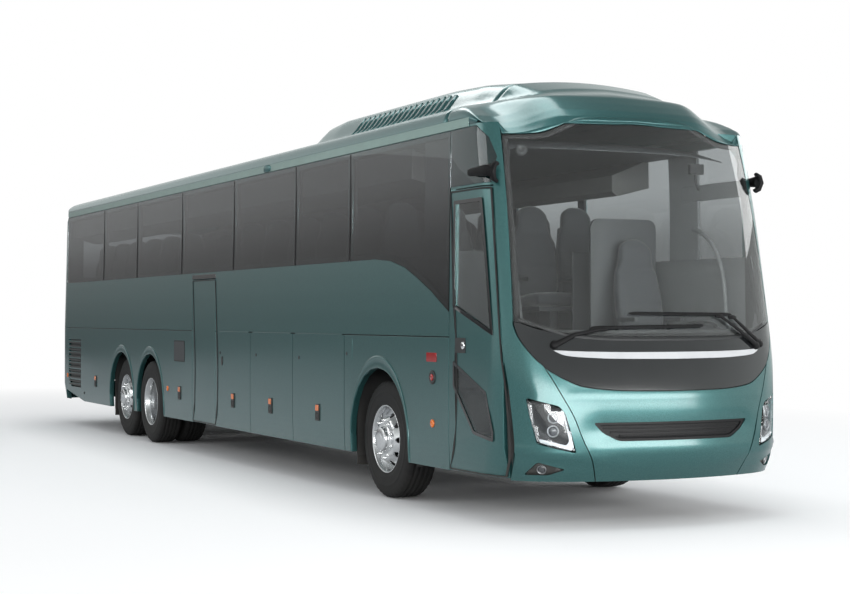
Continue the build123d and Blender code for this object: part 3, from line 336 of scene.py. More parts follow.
# %%
# Metallic paint: flakes are tiny mirrors, so a cell pattern varies their brightness one by one
def metallic_paint(name, dark, light_tone, metal, coat):
    made, tree = new_material(name)
    shine = add(tree, "ShaderNodeBsdfPrincipled", Metallic=metal)
    shine.inputs["Coat Weight"].default_value = coat
    shine.inputs["Coat Roughness"].default_value = 0.16
    shine.inputs["Specular IOR Level"].default_value = 0.35
    place = add(tree, "ShaderNodeTexCoord")
    flakes = add(tree, "ShaderNodeTexVoronoi", Scale=420.0)
    split = add(tree, "ShaderNodeSeparateColor")
    tones = add(tree, "ShaderNodeMix", data_type="RGBA")
    tones.inputs[6].default_value = (*dark, 1)
    tones.inputs[7].default_value = (*light_tone, 1)
    film = place_group(tree, dust_group, Top=0.55, Amount=0.10)
    fine = place_group(tree, grain_group, Scale=900.0, Middle=0.34, Swing=0.10)
    orange_peel = place_group(tree, grain_group, Scale=38.0, Middle=0.5, Swing=0.1)
    relief = add(tree, "ShaderNodeBump", Strength=0.10, Distance=0.0006)
    out = add(tree, "ShaderNodeOutputMaterial")
    join(tree, place.outputs["Object"], flakes.inputs["Vector"])
    join(tree, flakes.outputs["Color"], split.inputs[0])
    join(tree, split.outputs[0], tones.inputs[0])
    join(tree, tones.outputs[2], film.inputs["Colour"])
    join(tree, film.outputs["Colour"], shine.inputs["Base Color"])
    join(tree, fine.outputs["Value"], shine.inputs["Roughness"])
    join(tree, orange_peel.outputs["Height"], relief.inputs["Height"])
    join(tree, relief.outputs[0], shine.inputs["Normal"])
    join(tree, shine.outputs[0], out.inputs[0])
    return made


# %%
# Glass lets its shadow ray through, so the saloon behind it is lit as behind real glass
def glass(name, tint, rough=0.0, mirror=1.45, bump=0.0, foot=None):
    made, tree = new_material(name)
    pane = add(tree, "ShaderNodeBsdfPrincipled", Roughness=rough, Metallic=0.0, IOR=mirror)
    pane.inputs["Base Color"].default_value = (*tint, 1)
    pane.inputs["Transmission Weight"].default_value = 1.0
    if foot:                   # darker towards the sill, from the first height to the second
        place = add(tree, "ShaderNodeTexCoord")
        parts = add(tree, "ShaderNodeSeparateXYZ")
        rise = add(tree, "ShaderNodeMapRange", From_Min=foot[0], From_Max=foot[1], interpolation_type="SMOOTHSTEP")
        tones = add(tree, "ShaderNodeMix", data_type="RGBA")
        tones.inputs[6].default_value = tuple(c * foot[2] for c in tint) + (1,)
        tones.inputs[7].default_value = (*tint, 1)
        join(tree, place.outputs["Object"], parts.inputs[0])
        join(tree, parts.outputs[2], rise.inputs[0])
        join(tree, rise.outputs[0], tones.inputs[0])
        join(tree, tones.outputs[2], pane.inputs["Base Color"])
    clear = add(tree, "ShaderNodeBsdfTransparent")
    clear.inputs[0].default_value = (*tint, 1)
    rays = add(tree, "ShaderNodeLightPath")
    either = add(tree, "ShaderNodeMixShader")
    waves = place_group(tree, grain_group, Scale=1.7, Middle=0.5, Swing=0.1)
    relief = add(tree, "ShaderNodeBump", Strength=0.05, Distance=bump or 0.002)
    out = add(tree, "ShaderNodeOutputMaterial")
    join(tree, waves.outputs["Height"], relief.inputs["Height"])
    join(tree, relief.outputs[0], pane.inputs["Normal"])
    join(tree, rays.outputs["Is Shadow Ray"], either.inputs[0])
    join(tree, pane.outputs[0], either.inputs[1])
    join(tree, clear.outputs[0], either.inputs[2])
    join(tree, either.outputs[0], out.inputs[0])
    return made


# %%
# The finishes of this coach
paint = metallic_paint("paint_teal", (0.016, 0.086, 0.088), (0.052, 0.160, 0.156), 0.62, 0.9)
# the roof's copy of the teal is a touch darker than the sides': painted shade on the up-facing roof
roof_paint_shaded = metallic_paint("paint_roof_shaded", (0.014, 0.080, 0.084), (0.046, 0.150, 0.148), 0.62, 0.9)
black_gloss = finish("lacquer_black", (0.008, 0.009, 0.010), 0.10, 0.05, 220, coat=0.6, dust=0.12)
black_plastic = finish("plastic_black", (0.016, 0.017, 0.018), 0.48, 0.14, 700, bump=0.0004, dust=0.3)
seal = finish("rubber_seal", (0.008, 0.008, 0.009), 0.62, 0.12, 500, bump=0.0005, dust=0.25)
tyre_rubber = finish("rubber_tyre", (0.0075, 0.0075, 0.008), 0.66, 0.12, 260, bump=0.001, dust=0.10, level=0.3)
alloy = finish("aluminium_turned", (0.72, 0.73, 0.74), 0.22, 0.16, 160, metal=1.0, dust=0.12)
dark_alloy = finish("aluminium_cast", (0.30, 0.31, 0.32), 0.42, 0.16, 240, metal=0.9, bump=0.0006, dust=0.3)
chrome = finish("chrome_bright", (0.82, 0.83, 0.84), 0.08, 0.06, 200, metal=1.0)
steel = finish("steel_axle", (0.055, 0.055, 0.058), 0.5, 0.18, 120, metal=0.6, bump=0.0008, dust=0.5)
chassis_black = finish("chassis_coat", (0.02, 0.021, 0.023), 0.55, 0.15, 180, bump=0.0006, dust=0.5)
grey_trim = finish("trim_grey", (0.16, 0.165, 0.17), 0.6, 0.12, 500, bump=0.0004)
wiper_black = finish("rubber_wiper", (0.004, 0.004, 0.0045), 0.5, 0.12, 600, bump=0.0003, level=0.15)
slot_black = finish("plastic_slot", (0.006, 0.006, 0.0065), 0.45, 0.12, 500, bump=0.0004, level=0.25)
rack_trim = finish("trim_rack", (0.075, 0.075, 0.073), 0.6, 0.12, 400, bump=0.0003)
dark_trim = finish("trim_dark", (0.035, 0.037, 0.040), 0.55, 0.14, 450, bump=0.0005)
deck = finish("floor_vinyl", (0.09, 0.092, 0.095), 0.55, 0.2, 900, bump=0.0006)
cast_iron = finish("iron_cast", (0.05, 0.048, 0.045), 0.6, 0.2, 150, metal=0.4, bump=0.0015, dust=0.4)
lamp_red = finish("lens_red", (0.32, 0.008, 0.008), 0.14, 0.08, 350, coat=0.8)
lamp_amber = finish("lens_amber", (0.75, 0.16, 0.01), 0.16, 0.08, 350, coat=0.8)
lamp_white = finish("lens_white", (0.50, 0.52, 0.53), 0.16, 0.05, 350, coat=0.8)
lens_dark = finish("lens_projector", (0.045, 0.048, 0.052), 0.12, 0.06, 350, coat=0.8)
# pale satin band: its light tone is a painted highlight, the bright sky as mirrored along the roof's shoulder
painted_highlight_band = finish("painted_highlight_band", (0.20, 0.30, 0.275), 0.34, 0.10, 350, metal=0.6, coat=0.3)
strip_white = finish("strip_white", (0.46, 0.47, 0.48), 0.28, 0.08, 300, coat=0.3)
side_pane = glass("glass_smoke", (0.34, 0.36, 0.37), foot=(2.15, 2.85, 0.42))
door_pane = glass("glass_door", (0.42, 0.45, 0.45))
screen_pane = glass("glass_clear", (0.90, 0.93, 0.925))
lamp_pane = glass("glass_lamp", (0.93, 0.95, 0.96))
print("finishes:", len(bpy.data.materials))

# %% [markdown]
# ## The body form
# The drawing of a coach body is a stack of level lines: at each height, how far the nose reaches, how
# wide the body is, and the radii of the bow and of the corner. A pressed panel is a flat blank that a
# die bends over that form. The same is done here: a blank is cut flat, where every shape is easy, and
# each vertex is then moved to its place on the form. Bevels and thickness come along by themselves.

# %%
# Level lines of the form: height, nose, half width, radius of the bow, radius of the corner
LEVELS = [
    (0.30, -7.350, 1.262, 2.5, 0.65), (0.60, -7.475, 1.275, 2.5, 0.65), (1.00, -7.442, 1.275, 2.5, 0.55),
    (1.45, -7.342, 1.275, 2.5, 0.36), (3.05, -6.890, 1.255, 3.0, 0.20), (3.20, -6.835, 1.250, 3.0, 0.20),
    (3.40, -6.600, 1.250, 3.0, 0.30), (3.70, -5.800, 1.250, 3.0, 0.30),
]


def along(table, z, column):
    """Value of a column at height z, on a smooth line that never swings past its points."""
    rows = [(row[0], row[column]) for row in table]
    z = min(max(z, rows[0][0]), rows[-1][0])
    k = max(i for i in range(len(rows) - 1) if rows[i][0] <= z or i == 0)
    slope = [(b[1] - a[1]) / (b[0] - a[0]) for a, b in zip(rows, rows[1:])]

    def lean(i):
        if i in (0, len(rows) - 1):
            return slope[min(i, len(slope) - 1)]
        a, b = slope[i - 1], slope[i]
        return 0.0 if a * b <= 0 else 2 * a * b / (a + b)
    (z0, v0), (z1, v1) = rows[k], rows[k + 1]
    step = z1 - z0
    t = (z - z0) / step
    return (v0 * (1 + 2 * t) * (1 - t) ** 2 + lean(k) * step * t * (1 - t) ** 2
            + v1 * t * t * (3 - 2 * t) + lean(k + 1) * step * t * t * (t - 1))


# %%
# Round the nose: s is the distance from the middle, through bow, corner and on along the side
def nose(z):
    tip, half, bow, corner = (along(LEVELS, z, c) for c in (1, 2, 3, 4))
    edge = half - corner
    lean = math.asin(edge / (bow - corner))
    return tip, half, bow, corner, edge, lean, tip + bow - (bow - corner) * math.cos(lean)


def on_form(s, z, depth=0.0):
    tip, half, bow, corner, edge, lean, edge_y = nose(z)
    a, side = abs(s), (1 if s >= 0 else -1)
    first, second = bow * lean, corner * (math.pi / 2 - lean)
    if a < first:
        t = a / bow
        return Vector((side * (bow - depth) * math.sin(t), tip + bow - (bow - depth) * math.cos(t), z))
    if a < first + second:
        t = lean + (a - first) / corner
        return Vector((side * (edge + (corner - depth) * math.sin(t)), edge_y - (corner - depth) * math.cos(t), z))
    return Vector((side * (half - depth), edge_y + a - first - second, z))


def round_x(x, z):
    """Distance round the nose of a place given as seen from the front."""
    tip, half, bow, corner, edge, lean, edge_y = nose(z)
    a = abs(x)
    if a < bow * math.sin(lean):
        s = bow * math.asin(a / bow)
    else:
        s = bow * lean + corner * (math.asin(min(1, (a - edge) / corner)) - lean)
    return math.copysign(s, x)


def round_y(y, z, side):
    """The same for a place given as seen from the side."""
    tip, half, bow, corner, edge, lean, edge_y = nose(z)
    first, second = bow * lean, corner * (math.pi / 2 - lean)
    if y >= edge_y:
        return side * (first + second + y - edge_y)
    return side * (first + corner * (math.acos(min(1, (edge_y - y) / corner)) - lean))


def front_line(points):
    return [(round_x(x, z), z) for x, z in points]


def side_line(points, side):
    return [(round_y(y, z, side), z) for y, z in points]


def both_ways(points):
    """A half outline that starts on the middle line, closed over on the other side."""
    return points + [(-x, z) for x, z in points[::-1] if x]


print("nose at 1 m:", tuple(round(v, 3) for v in on_form(0, 1.0)), "side:",
      tuple(round(v, 3) for v in on_form(3, 1.0)))


# %%
# Cut a flat blank: a fine grid, kept where the outline is; holes are more lines of the same curve
def flat_outline(name, lines, thick):
    curve = bpy.data.curves.new(name, "CURVE")
    curve.dimensions, curve.fill_mode, curve.extrude = "2D", "BOTH", thick / 2
    for line in lines:
        spline = curve.splines.new("POLY")
        spline.points.add(len(line) - 1)
        for point, (u, v) in zip(spline.points, line):
            point.co = (u, v, 0, 1)
        spline.use_cyclic_u = True
    made = bpy.data.objects.new(name, curve)
    scene.collection.objects.link(made)
    mesh = bpy.data.meshes.new_from_object(made.evaluated_get(bpy.context.evaluated_depsgraph_get()))
    bpy.data.objects.remove(made)
    bpy.data.curves.remove(curve)
    bm = bmesh.new()
    bm.from_mesh(mesh)
    bpy.data.meshes.remove(mesh)
    bmesh.ops.remove_doubles(bm, verts=bm.verts[:], dist=1e-6)
    bmesh.ops.recalc_face_normals(bm, faces=bm.faces[:])
    return bm


def blank(lines, depth0, depth1, cell):
    """Closed flat sheet from depth0 to depth1, with a grid of about one cell and the outline's edge."""
    us, vs = [p[0] for p in lines[0]], [p[1] for p in lines[0]]
    wide, tall = max(us) - min(us) + 0.02, max(vs) - min(vs) + 0.02
    bm = bmesh.new()
    bmesh.ops.create_grid(bm, x_segments=max(2, round(wide / cell)), y_segments=max(2, round(tall / cell)),
                          size=0.5)
    middle = ((max(us) + min(us)) / 2, (max(vs) + min(vs)) / 2, depth0)
    bmesh.ops.transform(bm, verts=bm.verts[:], matrix=Matrix.Translation(middle) @ Matrix.Diagonal((wide, tall, 1,
            1)))
    grown = bmesh.ops.extrude_face_region(bm, geom=bm.faces[:], use_keep_orig=True)["geom"]
    bmesh.ops.translate(bm, vec=(0, 0, depth1 - depth0), verts=[g for g in grown if isinstance(g,
            bmesh.types.BMVert)])
    bmesh.ops.recalc_face_normals(bm, faces=bm.faces[:])
    sheet = make_object("blank_sheet", bm)
    cutter = make_object("blank_cutter", flat_outline("blank_line", lines, 2.0))
    cut = sheet.modifiers.new("cut", "BOOLEAN")
    cut.operation, cut.object, cut.solver = "INTERSECT", cutter, "EXACT"
    mesh = bpy.data.meshes.new_from_object(sheet.evaluated_get(bpy.context.evaluated_depsgraph_get()))
    for used in (sheet, cutter):
        bpy.data.objects.remove(used)
    bm = bmesh.new()
    bm.from_mesh(mesh)
    bpy.data.meshes.remove(mesh)
    return bm


# %%
# Press a blank over the form; its rim gets a small rolled edge
def rolled_edge(made, width=0.003, segments=2, angle=38):
    bevel = made.modifiers.new("rolled_edge", "BEVEL")
    bevel.width, bevel.segments, bevel.limit_method = width, segments, "ANGLE"
    bevel.angle_limit, bevel.harden_normals = math.radians(angle), True
    return made


def pressed(name, lines, depth0, depth1, material, body="coach", cell=0.06, edge=0.003, bend=None):
    bm = blank(lines, depth0, depth1, cell)
    for vert in bm.verts:
        s, z, depth = vert.co
        vert.co = on_form(s, z, depth + (bend(s, z) if bend else 0.0))
    made = make_object(name, bm, material)
    if edge:
        rolled_edge(made, edge)
    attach(made, body)
    return made


# %% [markdown]
# ## The solids that stay
# Sheet-metal edges are rolled, never knife-sharp, and a rolled edge is what catches the light. The
# solids keep their own vertices; a modifier welds their loose triangles, shades flat steps of under
# thirty degrees as one curve, and a bevel rolls the edges.

# %%
# Weld and shade, as geometry nodes
weld = bpy.data.node_groups.new("weld_and_shade", "GeometryNodeTree")
weld.interface.new_socket("Geometry", in_out="INPUT", socket_type="NodeSocketGeometry")
weld.interface.new_socket("Geometry", in_out="OUTPUT", socket_type="NodeSocketGeometry")
gin, gout = add(weld, "NodeGroupInput"), add(weld, "NodeGroupOutput")
merge = add(weld, "GeometryNodeMergeByDistance", Distance=0.0001)
plain = add(weld, "GeometryNodeSetMeshNormal")
soft = add(weld, "GeometryNodeSetShadeSmooth", domain="FACE")
crease = add(weld, "GeometryNodeInputMeshEdgeAngle")
steep = add(weld, "FunctionNodeCompare", operation="GREATER_THAN")
steep.inputs[1].default_value = math.radians(30)
hard = add(weld, "GeometryNodeSetShadeSmooth", domain="EDGE")
hard.inputs["Shade Smooth"].default_value = False
join(weld, gin.outputs[0], merge.inputs[0])
join(weld, merge.outputs[0], plain.inputs[0])
join(weld, plain.outputs[0], soft.inputs[0])
join(weld, crease.outputs["Unsigned Angle"], steep.inputs[0])
join(weld, soft.outputs[0], hard.inputs[0])
join(weld, steep.outputs[0], hard.inputs["Selection"])
join(weld, hard.outputs[0], gout.inputs[0])


def dress(node, material, edge=0.003):
    solid = NODES[node]
    shade = solid.modifiers.new("weld", "NODES")
    shade.node_group = weld
    if edge:
        rolled_edge(solid, edge)
    for number in range(len(solid.data.materials)):
        solid.data.materials[number] = material


# %%
# Node by node: finish and width of the rolled edge
KEPT = [
    ("wall_right", paint, 0.003), ("wall_left", paint, 0.003), ("skirt_right", paint, 0.003),
    ("skirt_left", paint, 0.003), ("door_mid", paint, 0.003), ("engine_lid", paint, 0.003),
    ("rear_wall", paint, 0.004), ("rear_bumper", paint, 0.006), ("door_front", paint, 0.003),
    ("side_glass", side_pane, 0), ("rear_window", side_pane, 0), ("door_front_glass", door_pane, 0),
    ("front_frame", black_plastic, 0.003), ("chassis_frame", chassis_black, 0.003),
    ("luggage_bay", chassis_black, 0), ("wheel_houses", black_plastic, 0), ("front_axle", steel, 0.004),
    ("rear_axles", steel, 0.004), ("knuckle_left", steel, 0.003), ("knuckle_right", steel, 0.003),
    ("engine_block", cast_iron, 0.02), ("saloon_floor", deck, 0), ("steps", grey_trim, 0.003),
    ("door_front_arm", steel, 0.002), ("door_mid_arm", steel, 0.002), ("partition", dark_trim, 0.008),
    ("luggage_racks", rack_trim, 0.01), ("dashboard", dark_trim, 0.02), ("mud_flaps", seal, 0.004),
    ("steering_wheel", black_plastic, 0.004), ("tail_lamps", lamp_red, 0.006),
]
for row in range(1, 4):
    KEPT += [(f"flap_{hand}_{row}", paint, 0.003) for hand in ("left", "right")]
for node, material, edge in KEPT:
    dress(node, material, edge)
print("solids dressed:", len(KEPT))

# %% [markdown]
# ## The nose
# The nose is four mouldings round one sheet of glass: a gloss black mask that carries the wipers, a
# bumper, and a corner panel each side that runs up as the pillar cover. They meet in eight-millimetre
# seams. Each outline is given for one half, as seen from the front, and mirrored as it is cut.

# %%
# Outlines of the nose, x and z from the middle outwards
def through(points, steps=6):
    """Smooth line through the points, as a draughtsman's spline would lie."""
    ends = [points[0]] + points + [points[-1]]
    line = []
    for a, b, c, d in zip(ends, ends[1:], ends[2:], ends[3:]):
        for i in range(steps):
            t = i / steps
            line.append(tuple(
                0.5 * (2 * q + (r - p) * t + (2 * p - 5 * q + 4 * r - s) * t * t + (3 * q - p - 3 * r + s) * t ** 3)
                for p, q, r, s in zip(a, b, c, d)))
    return line + [points[-1]]


def rounded(points, radius, steps=5):
    """Closed outline whose corners are turned into arcs."""
    line = []
    for a, b, c in zip(points[-1:] + points[:-1], points, points[1:] + points[:1]):
        a, b, c = Vector(a), Vector(b), Vector(c)
        r = min(radius, (a - b).length / 2.1, (c - b).length / 2.1)
        start, end = b + (a - b).normalized() * r, b + (c - b).normalized() * r
        for i in range(steps + 1):
            t = i / steps
            line.append(tuple(start * (1 - t) ** 2 + b * 2 * t * (1 - t) + end * t * t))
    return line


def grown(points, by):
    """Closed outline moved outwards by a distance; the points run one way round."""
    area = sum(a[0] * b[1] - b[0] * a[1] for a, b in zip(points, points[1:] + points[:1]))
    way = 1 if area > 0 else -1
    moved = []
    for a, b, c in zip(points[-1:] + points[:-1], points, points[1:] + points[:1]):
        n1 = Vector((b[1] - a[1], a[0] - b[0])).normalized() * way
        n2 = Vector((c[1] - b[1], b[0] - c[0])).normalized() * way
        n = n1 + n2
        n = n / max(0.35, n.length_squared / 2)
        moved.append((b[0] + n.x * by, b[1] + n.y * by))
    return moved


SCREEN_LOW = through([(0, 1.452), (0.35, 1.453), (0.63, 1.458), (0.87, 1.480), (1.03, 1.515), (1.18, 1.572)], 4)
SCREEN_TOP = through([(0, 3.184), (0.45, 3.176), (0.62, 3.120), (0.80, 3.048), (0.95, 3.028), (1.12, 3.026)], 4)
MASK_LOW = through([(0, 1.043), (0.457, 1.049), (0.736, 1.075), (0.863, 1.121), (0.979, 1.190), (1.045, 1.250),
                    (1.113, 1.343), (1.165, 1.451), (1.185, 1.552)], 4)
SEAM = through([(1.028, 1.232), (0.919, 1.007), (0.846, 0.857), (0.787, 0.687), (0.704, 0.502), (0.647, 0.357)], 4)
HEAD = [(1.146, 0.993), (0.944, 0.931), (0.901, 0.872), (0.833, 0.577), (1.088, 0.646), (1.130, 0.870)]
FOG = [(1.133, 0.407), (1.079, 0.508), (0.891, 0.454), (0.992, 0.409)]
GRILLE = [(-0.512, 0.665), (0.512, 0.665), (0.634, 0.728), (0.705, 0.806), (-0.705, 0.806), (-0.634, 0.728)]
STRIP_TOP = through([(0, 1.334), (0.42, 1.335), (0.735, 1.341), (0.95, 1.351)], 4)
STRIP_LOW = through([(0, 1.281), (0.42, 1.284), (0.65, 1.291), (0.86, 1.309), (0.95, 1.351)], 4)
GAP = 0.004                    # half a seam


# %%
# The windscreen and its black border
def ring(low, top):
    """Closed outline from a lower and an upper half line."""
    right = low + top[::-1]
    return right + [(-x, z) for x, z in right[::-1] if x]


screen_ring = ring(SCREEN_LOW, SCREEN_TOP)
windscreen = pressed("screen_glass", [front_line(screen_ring)], 0.0, 0.008, screen_pane, cell=0.09, edge=0.001)
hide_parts("windscreen")
inner = ring([(x * 0.972, z + 0.022) for x, z in SCREEN_LOW], [(x * 0.965, z - 0.040) for x, z in SCREEN_TOP])
border = pressed("screen_border", [front_line(screen_ring), front_line(inner)], 0.0095, 0.012, slot_black,
                 cell=0.09, edge=0)

# %%
# The gloss mask, with its pale trim strip and the shadow gap over it
mask_ring = ring(MASK_LOW, [(x, z - 0.008) for x, z in SCREEN_LOW])
strip_ring = ring(STRIP_LOW[:-1], STRIP_TOP)
mask = pressed("mask_gloss", [front_line(mask_ring)], 0.0, 0.022, black_gloss, cell=0.07, edge=0.004)
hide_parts("front_mask")
strip = pressed("mask_strip", [front_line(strip_ring)], -0.003, 0.004, strip_white, cell=0.08, edge=0.0015)
cowl_ring = ring([(x * 0.9, z - 0.034) for x, z in SCREEN_LOW], [(x * 0.9, z - 0.018) for x, z in SCREEN_LOW])
cowl = pressed("mask_cowl_grille", [front_line(cowl_ring)], -0.002, 0.003, black_plastic, cell=0.08, edge=0.001)


# %%
# The bumper: a lip stands out under the mask and the form dishes round the air slot
def bumper_form(s, z):
    a = abs(s)
    lip = math.exp(-((z - 1.005) / 0.030) ** 2) * 0.004
    dish = math.exp(-((z - 0.74) / 0.115) ** 2) * max(0.0, min(1.0, (0.86 - a) / 0.22)) * 0.020
    chin = math.exp(-((z - 0.545) / 0.05) ** 2) * max(0.0, min(1.0, (0.75 - a) / 0.3)) * 0.004
    under = z - (0.545 - (0.80 - a) * 0.16)
    shelf = -0.007 * math.exp(-(under / 0.018) ** 2) * max(0.0, min(1.0, (a - 0.30) / 0.35))
    return dish - lip * (1 if a < 0.9 else 0) + chin + shelf


low = [(x, z - 2 * GAP) for x, z in MASK_LOW if x < 1.02]
bumper_ring = both_ways(low + [(x - GAP, z) for x, z in SEAM[1:]])
slot_ring = rounded(GRILLE, 0.03)
bumper = pressed("bumper", [front_line(bumper_ring), front_line(slot_ring)], 0.0, 0.026, paint, cell=0.035,
                 edge=0.004, bend=bumper_form)
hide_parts("front_bumper")
bed = pressed("grille_bed", [front_line(grown(slot_ring, 0.012))], 0.036, 0.046, slot_black, cell=0.06, edge=0)
frame_ring = rounded(grown(GRILLE, -0.020), 0.03)
surround = pressed("grille_surround", [front_line(grown(slot_ring, 0.002)), front_line(frame_ring)], 0.018, 0.040,
                   slot_black, cell=0.05, edge=0.004, bend=lambda s, z: 0.006)
for number, (z, half) in enumerate([(0.700, 0.50), (0.729, 0.57), (0.758, 0.62)]):
    louvre = pressed(f"grille_louvre_{number}", [front_line([(-half, z), (half, z), (half, z + 0.009),
            (-half, z + 0.009)])],
                     0.024, 0.040, slot_black, cell=0.06, edge=0.002)
print("bumper faces:", len(bumper.data.polygons), "mask faces:", len(mask.data.polygons))

# %%
# Corner panels, each in one with its pillar cover
PILLAR = {-1: [(-6.938, 0.357), (-6.938, 1.300), (-6.728, 2.620), (-6.706, 2.660), (-6.706, 2.850), (-6.628, 3.008),
               (-6.505, 3.110), (-6.430, 3.124)],
          1: [(-6.658, 0.357), (-6.658, 1.300), (-6.658, 3.020), (-6.600, 3.090), (-6.500, 3.118), (-6.430, 3.124)]}


def corner_line(side):
    seam = [(round_x(side * (x + GAP), z), z) for x, z in SEAM[::-1]]
    mask_edge = [(round_x(side * (x + 2 * GAP), z), z) for x, z in MASK_LOW if z > 1.26]
    glass_edge = [(round_x(side * (1.188 - (z - 1.60) * 0.0420), z), z) for z in (1.60, 1.9, 2.2, 2.5, 2.8, 3.02)]
    rear = [(round_y(y, z, side), z) for y, z in PILLAR[side]]
    top = [(round_x(side * 1.128, 3.124), 3.124)]
    return seam + mask_edge + glass_edge + top + rear[::-1]


def corner_form(s, z):
    """One soft crease climbs from the lamp's inner end to the pillar's foot, one runs out under the lamp."""
    ridge = abs(s) - (1.02 + (z - 0.60) * 0.30)
    climb = -0.007 * math.exp(-(ridge / 0.040) ** 2) * max(0, min(1, (1.35 - z) / 0.3)) * max(0,
            min(1, (z - 0.55) / 0.2))
    under = z - (0.555 + (abs(s) - 1.0) * 0.10)
    fade = max(0, min(1, (abs(s) - 0.66) / 0.15)) * max(0, min(1, (1.50 - abs(s)) / 0.2))
    shelf = -0.009 * math.exp(-(under / 0.020) ** 2) + 0.006 * math.exp(-((under + 0.045) / 0.030) ** 2)
    return climb + shelf * fade


corners = []
for side, hand in ((-1, "right"), (1, "left")):
    lamp_hole = [(round_x(side * x, z), z) for x, z in rounded(HEAD, 0.022)]
    fog_hole = [(round_x(side * x, z), z) for x, z in rounded(FOG, 0.02)]
    panel = pressed(f"corner_panel_{hand}", [corner_line(side), lamp_hole, fog_hole], -0.001, 0.024, paint,
                    cell=0.035, edge=0.004, bend=corner_form)
    corners.append(panel)
    seat_ring = [(round_x(side * x, z), z) for x, z in grown(rounded(FOG, 0.02), 0.01)]
    fog_bed = pressed(f"fog_recess_{hand}", [seat_ring], 0.026, 0.030, black_plastic, cell=0.05, edge=0)
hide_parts("front_corners")
print("corner panels:", [len(c.data.polygons) for c in corners])

# %% [markdown]
# ## Lamps
# A headlamp is a black tray under one clear cover, with two projector lenses in bright bezels and a
# light bar bent round the inner and lower edge. The tray and the cover are pressed over the form like
# the panels; the projectors are turned, so they are spun round their own axis.

# %%
# A turned piece: half outline of radius and height, spun full circle, then put in place
def turned(name, outline, place, material, body="coach", steps=32):
    bm = bmesh.new()
    points = [bm.verts.new((radius, 0, height)) for radius, height in outline]
    line = [bm.edges.new(pair) for pair in zip(points, points[1:])]
    bmesh.ops.spin(bm, geom=points + line, cent=(0, 0, 0), axis=(0, 0, 1), angle=2 * math.pi, steps=steps,
                   use_merge=True)
    bmesh.ops.transform(bm, verts=bm.verts[:], matrix=place)
    made = make_object(name, bm, material)
    if body:
        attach(made, body)
    return made


def standing_on(s, z, depth):
    """Place on the form with its local Z pointing straight out of the panel."""
    point, ahead = on_form(s, z, depth), on_form(s, z, depth - 0.05)
    along_s = on_form(s + 0.01, z, depth) - on_form(s - 0.01, z, depth)
    outwards = along_s.cross(on_form(s, z + 0.01, depth) - on_form(s, z - 0.01, depth)).normalized()
    if outwards.dot(ahead - point) < 0:
        outwards.negate()
    return Matrix.Translation(point) @ outwards.to_track_quat("Z", "Y").to_matrix().to_4x4()


# %%
# Sweep: an oval section along a path, its broad side kept square to a given direction
def swept(name, path, normals, widths, heights, material, body="coach", points=12, power=0.7):
    """widths lie across the path in the surface, heights stand out of it; the ends are closed."""
    bm = bmesh.new()
    rings = []
    count = len(path)
    for i, place in enumerate(path):
        ahead = (path[min(i + 1, count - 1)] - path[max(i - 1, 0)]).normalized()
        up = (normals[i] - ahead * normals[i].dot(ahead)).normalized()
        across = ahead.cross(up)
        t = i / (count - 1)
        wide, tall = ramp(widths, t), ramp(heights, t)
        ring_points = []
        for j in range(points):
            turn = 2 * math.pi * (j + 0.5) / points
            c, s = math.cos(turn), math.sin(turn)
            ring_points.append(bm.verts.new(place + across * (math.copysign(abs(c) ** power, c) * wide / 2)
                                            + up * (math.copysign(abs(s) ** power, s) * tall / 2)))
        rings.append(ring_points)
    for a, b in zip(rings, rings[1:]):
        for j in range(points):
            bm.faces.new((a[j], a[(j + 1) % points], b[(j + 1) % points], b[j]))
    bm.faces.new(rings[0][::-1])
    bm.faces.new(rings[-1])
    made = make_object(name, bm, material)
    rolled_edge(made, 0.0015, 2, 50)
    if body:
        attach(made, body)
    return made


# %%
# Headlamps
BEZEL = [(0.046, 0.000), (0.046, 0.010), (0.042, 0.014), (0.037, 0.012), (0.036, 0.003), (0.0, 0.001)]
LENS = [(0.0345, 0.002), (0.033, 0.008), (0.027, 0.013), (0.018, 0.0165), (0.009, 0.018), (0.0, 0.0185)]
for side, hand in ((-1, "right"), (1, "left")):
    tray = pressed(f"headlamp_tray_{hand}", [[(round_x(side * x, z), z) for x,
            z in grown(rounded(HEAD, 0.022), 0.004)]],
                   0.0245, 0.028, black_gloss, cell=0.05, edge=0)
    cover_line = [(round_x(side * x, z), z) for x, z in grown(rounded(HEAD, 0.022), -0.003)]
    cover = pressed(f"headlamp_cover_{hand}", [cover_line], 0.001, 0.004, lamp_pane, cell=0.05, edge=0)
    # the light bar: down the inner edge, round the corner and out along the foot
    inner_edge = [(0.925, 0.905), (0.890, 0.850), (0.853, 0.640), (0.868, 0.602), (1.070, 0.660)]
    outer_edge = [(1.078, 0.686), (0.905, 0.638), (0.884, 0.668), (0.915, 0.838), (0.945, 0.884)]
    bar_line = [(round_x(side * x, z), z) for x, z in rounded(inner_edge + outer_edge, 0.012, 3)]
    glow_bar = pressed(f"headlamp_light_bar_{hand}", [bar_line], 0.008, 0.022, lamp_white, cell=0.05, edge=0.002)
    for number, (x, z) in enumerate([(0.985, 0.845), (0.992, 0.742)]):
        spot = standing_on(round_x(side * x, z), z, 0.024)
        bezel = turned(f"headlamp_bezel_{hand}_{number}", BEZEL, spot, dark_alloy)
        lens = turned(f"headlamp_lens_{hand}_{number}", LENS, spot, lens_dark)
    fog_spot = standing_on(round_x(side * 1.045, 0.452), 0.452, 0.0255)
    fog_ring = turned(f"fog_lamp_{hand}", [(r * 0.82, h) for r, h in BEZEL], fog_spot, dark_alloy)
    fog_lens = turned(f"fog_lens_{hand}", [(r * 0.82, h * 0.7) for r, h in LENS], fog_spot, lens_dark)
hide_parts("headlamps")
print("headlamps set")

# %% [markdown]
# ## Roof, cap and pod
# The roof is a long moulding with a soft shoulder over the windows and a shallow crown. Over the
# driver it ends in a separate cap that dips between the shoulder and the hump of the air conditioner.
# One height law serves all of it, so the seams between cap, roof and pod line up by themselves: the
# shoulder, the brow and the tail each give a height from their own edge, and the lowest one wins.

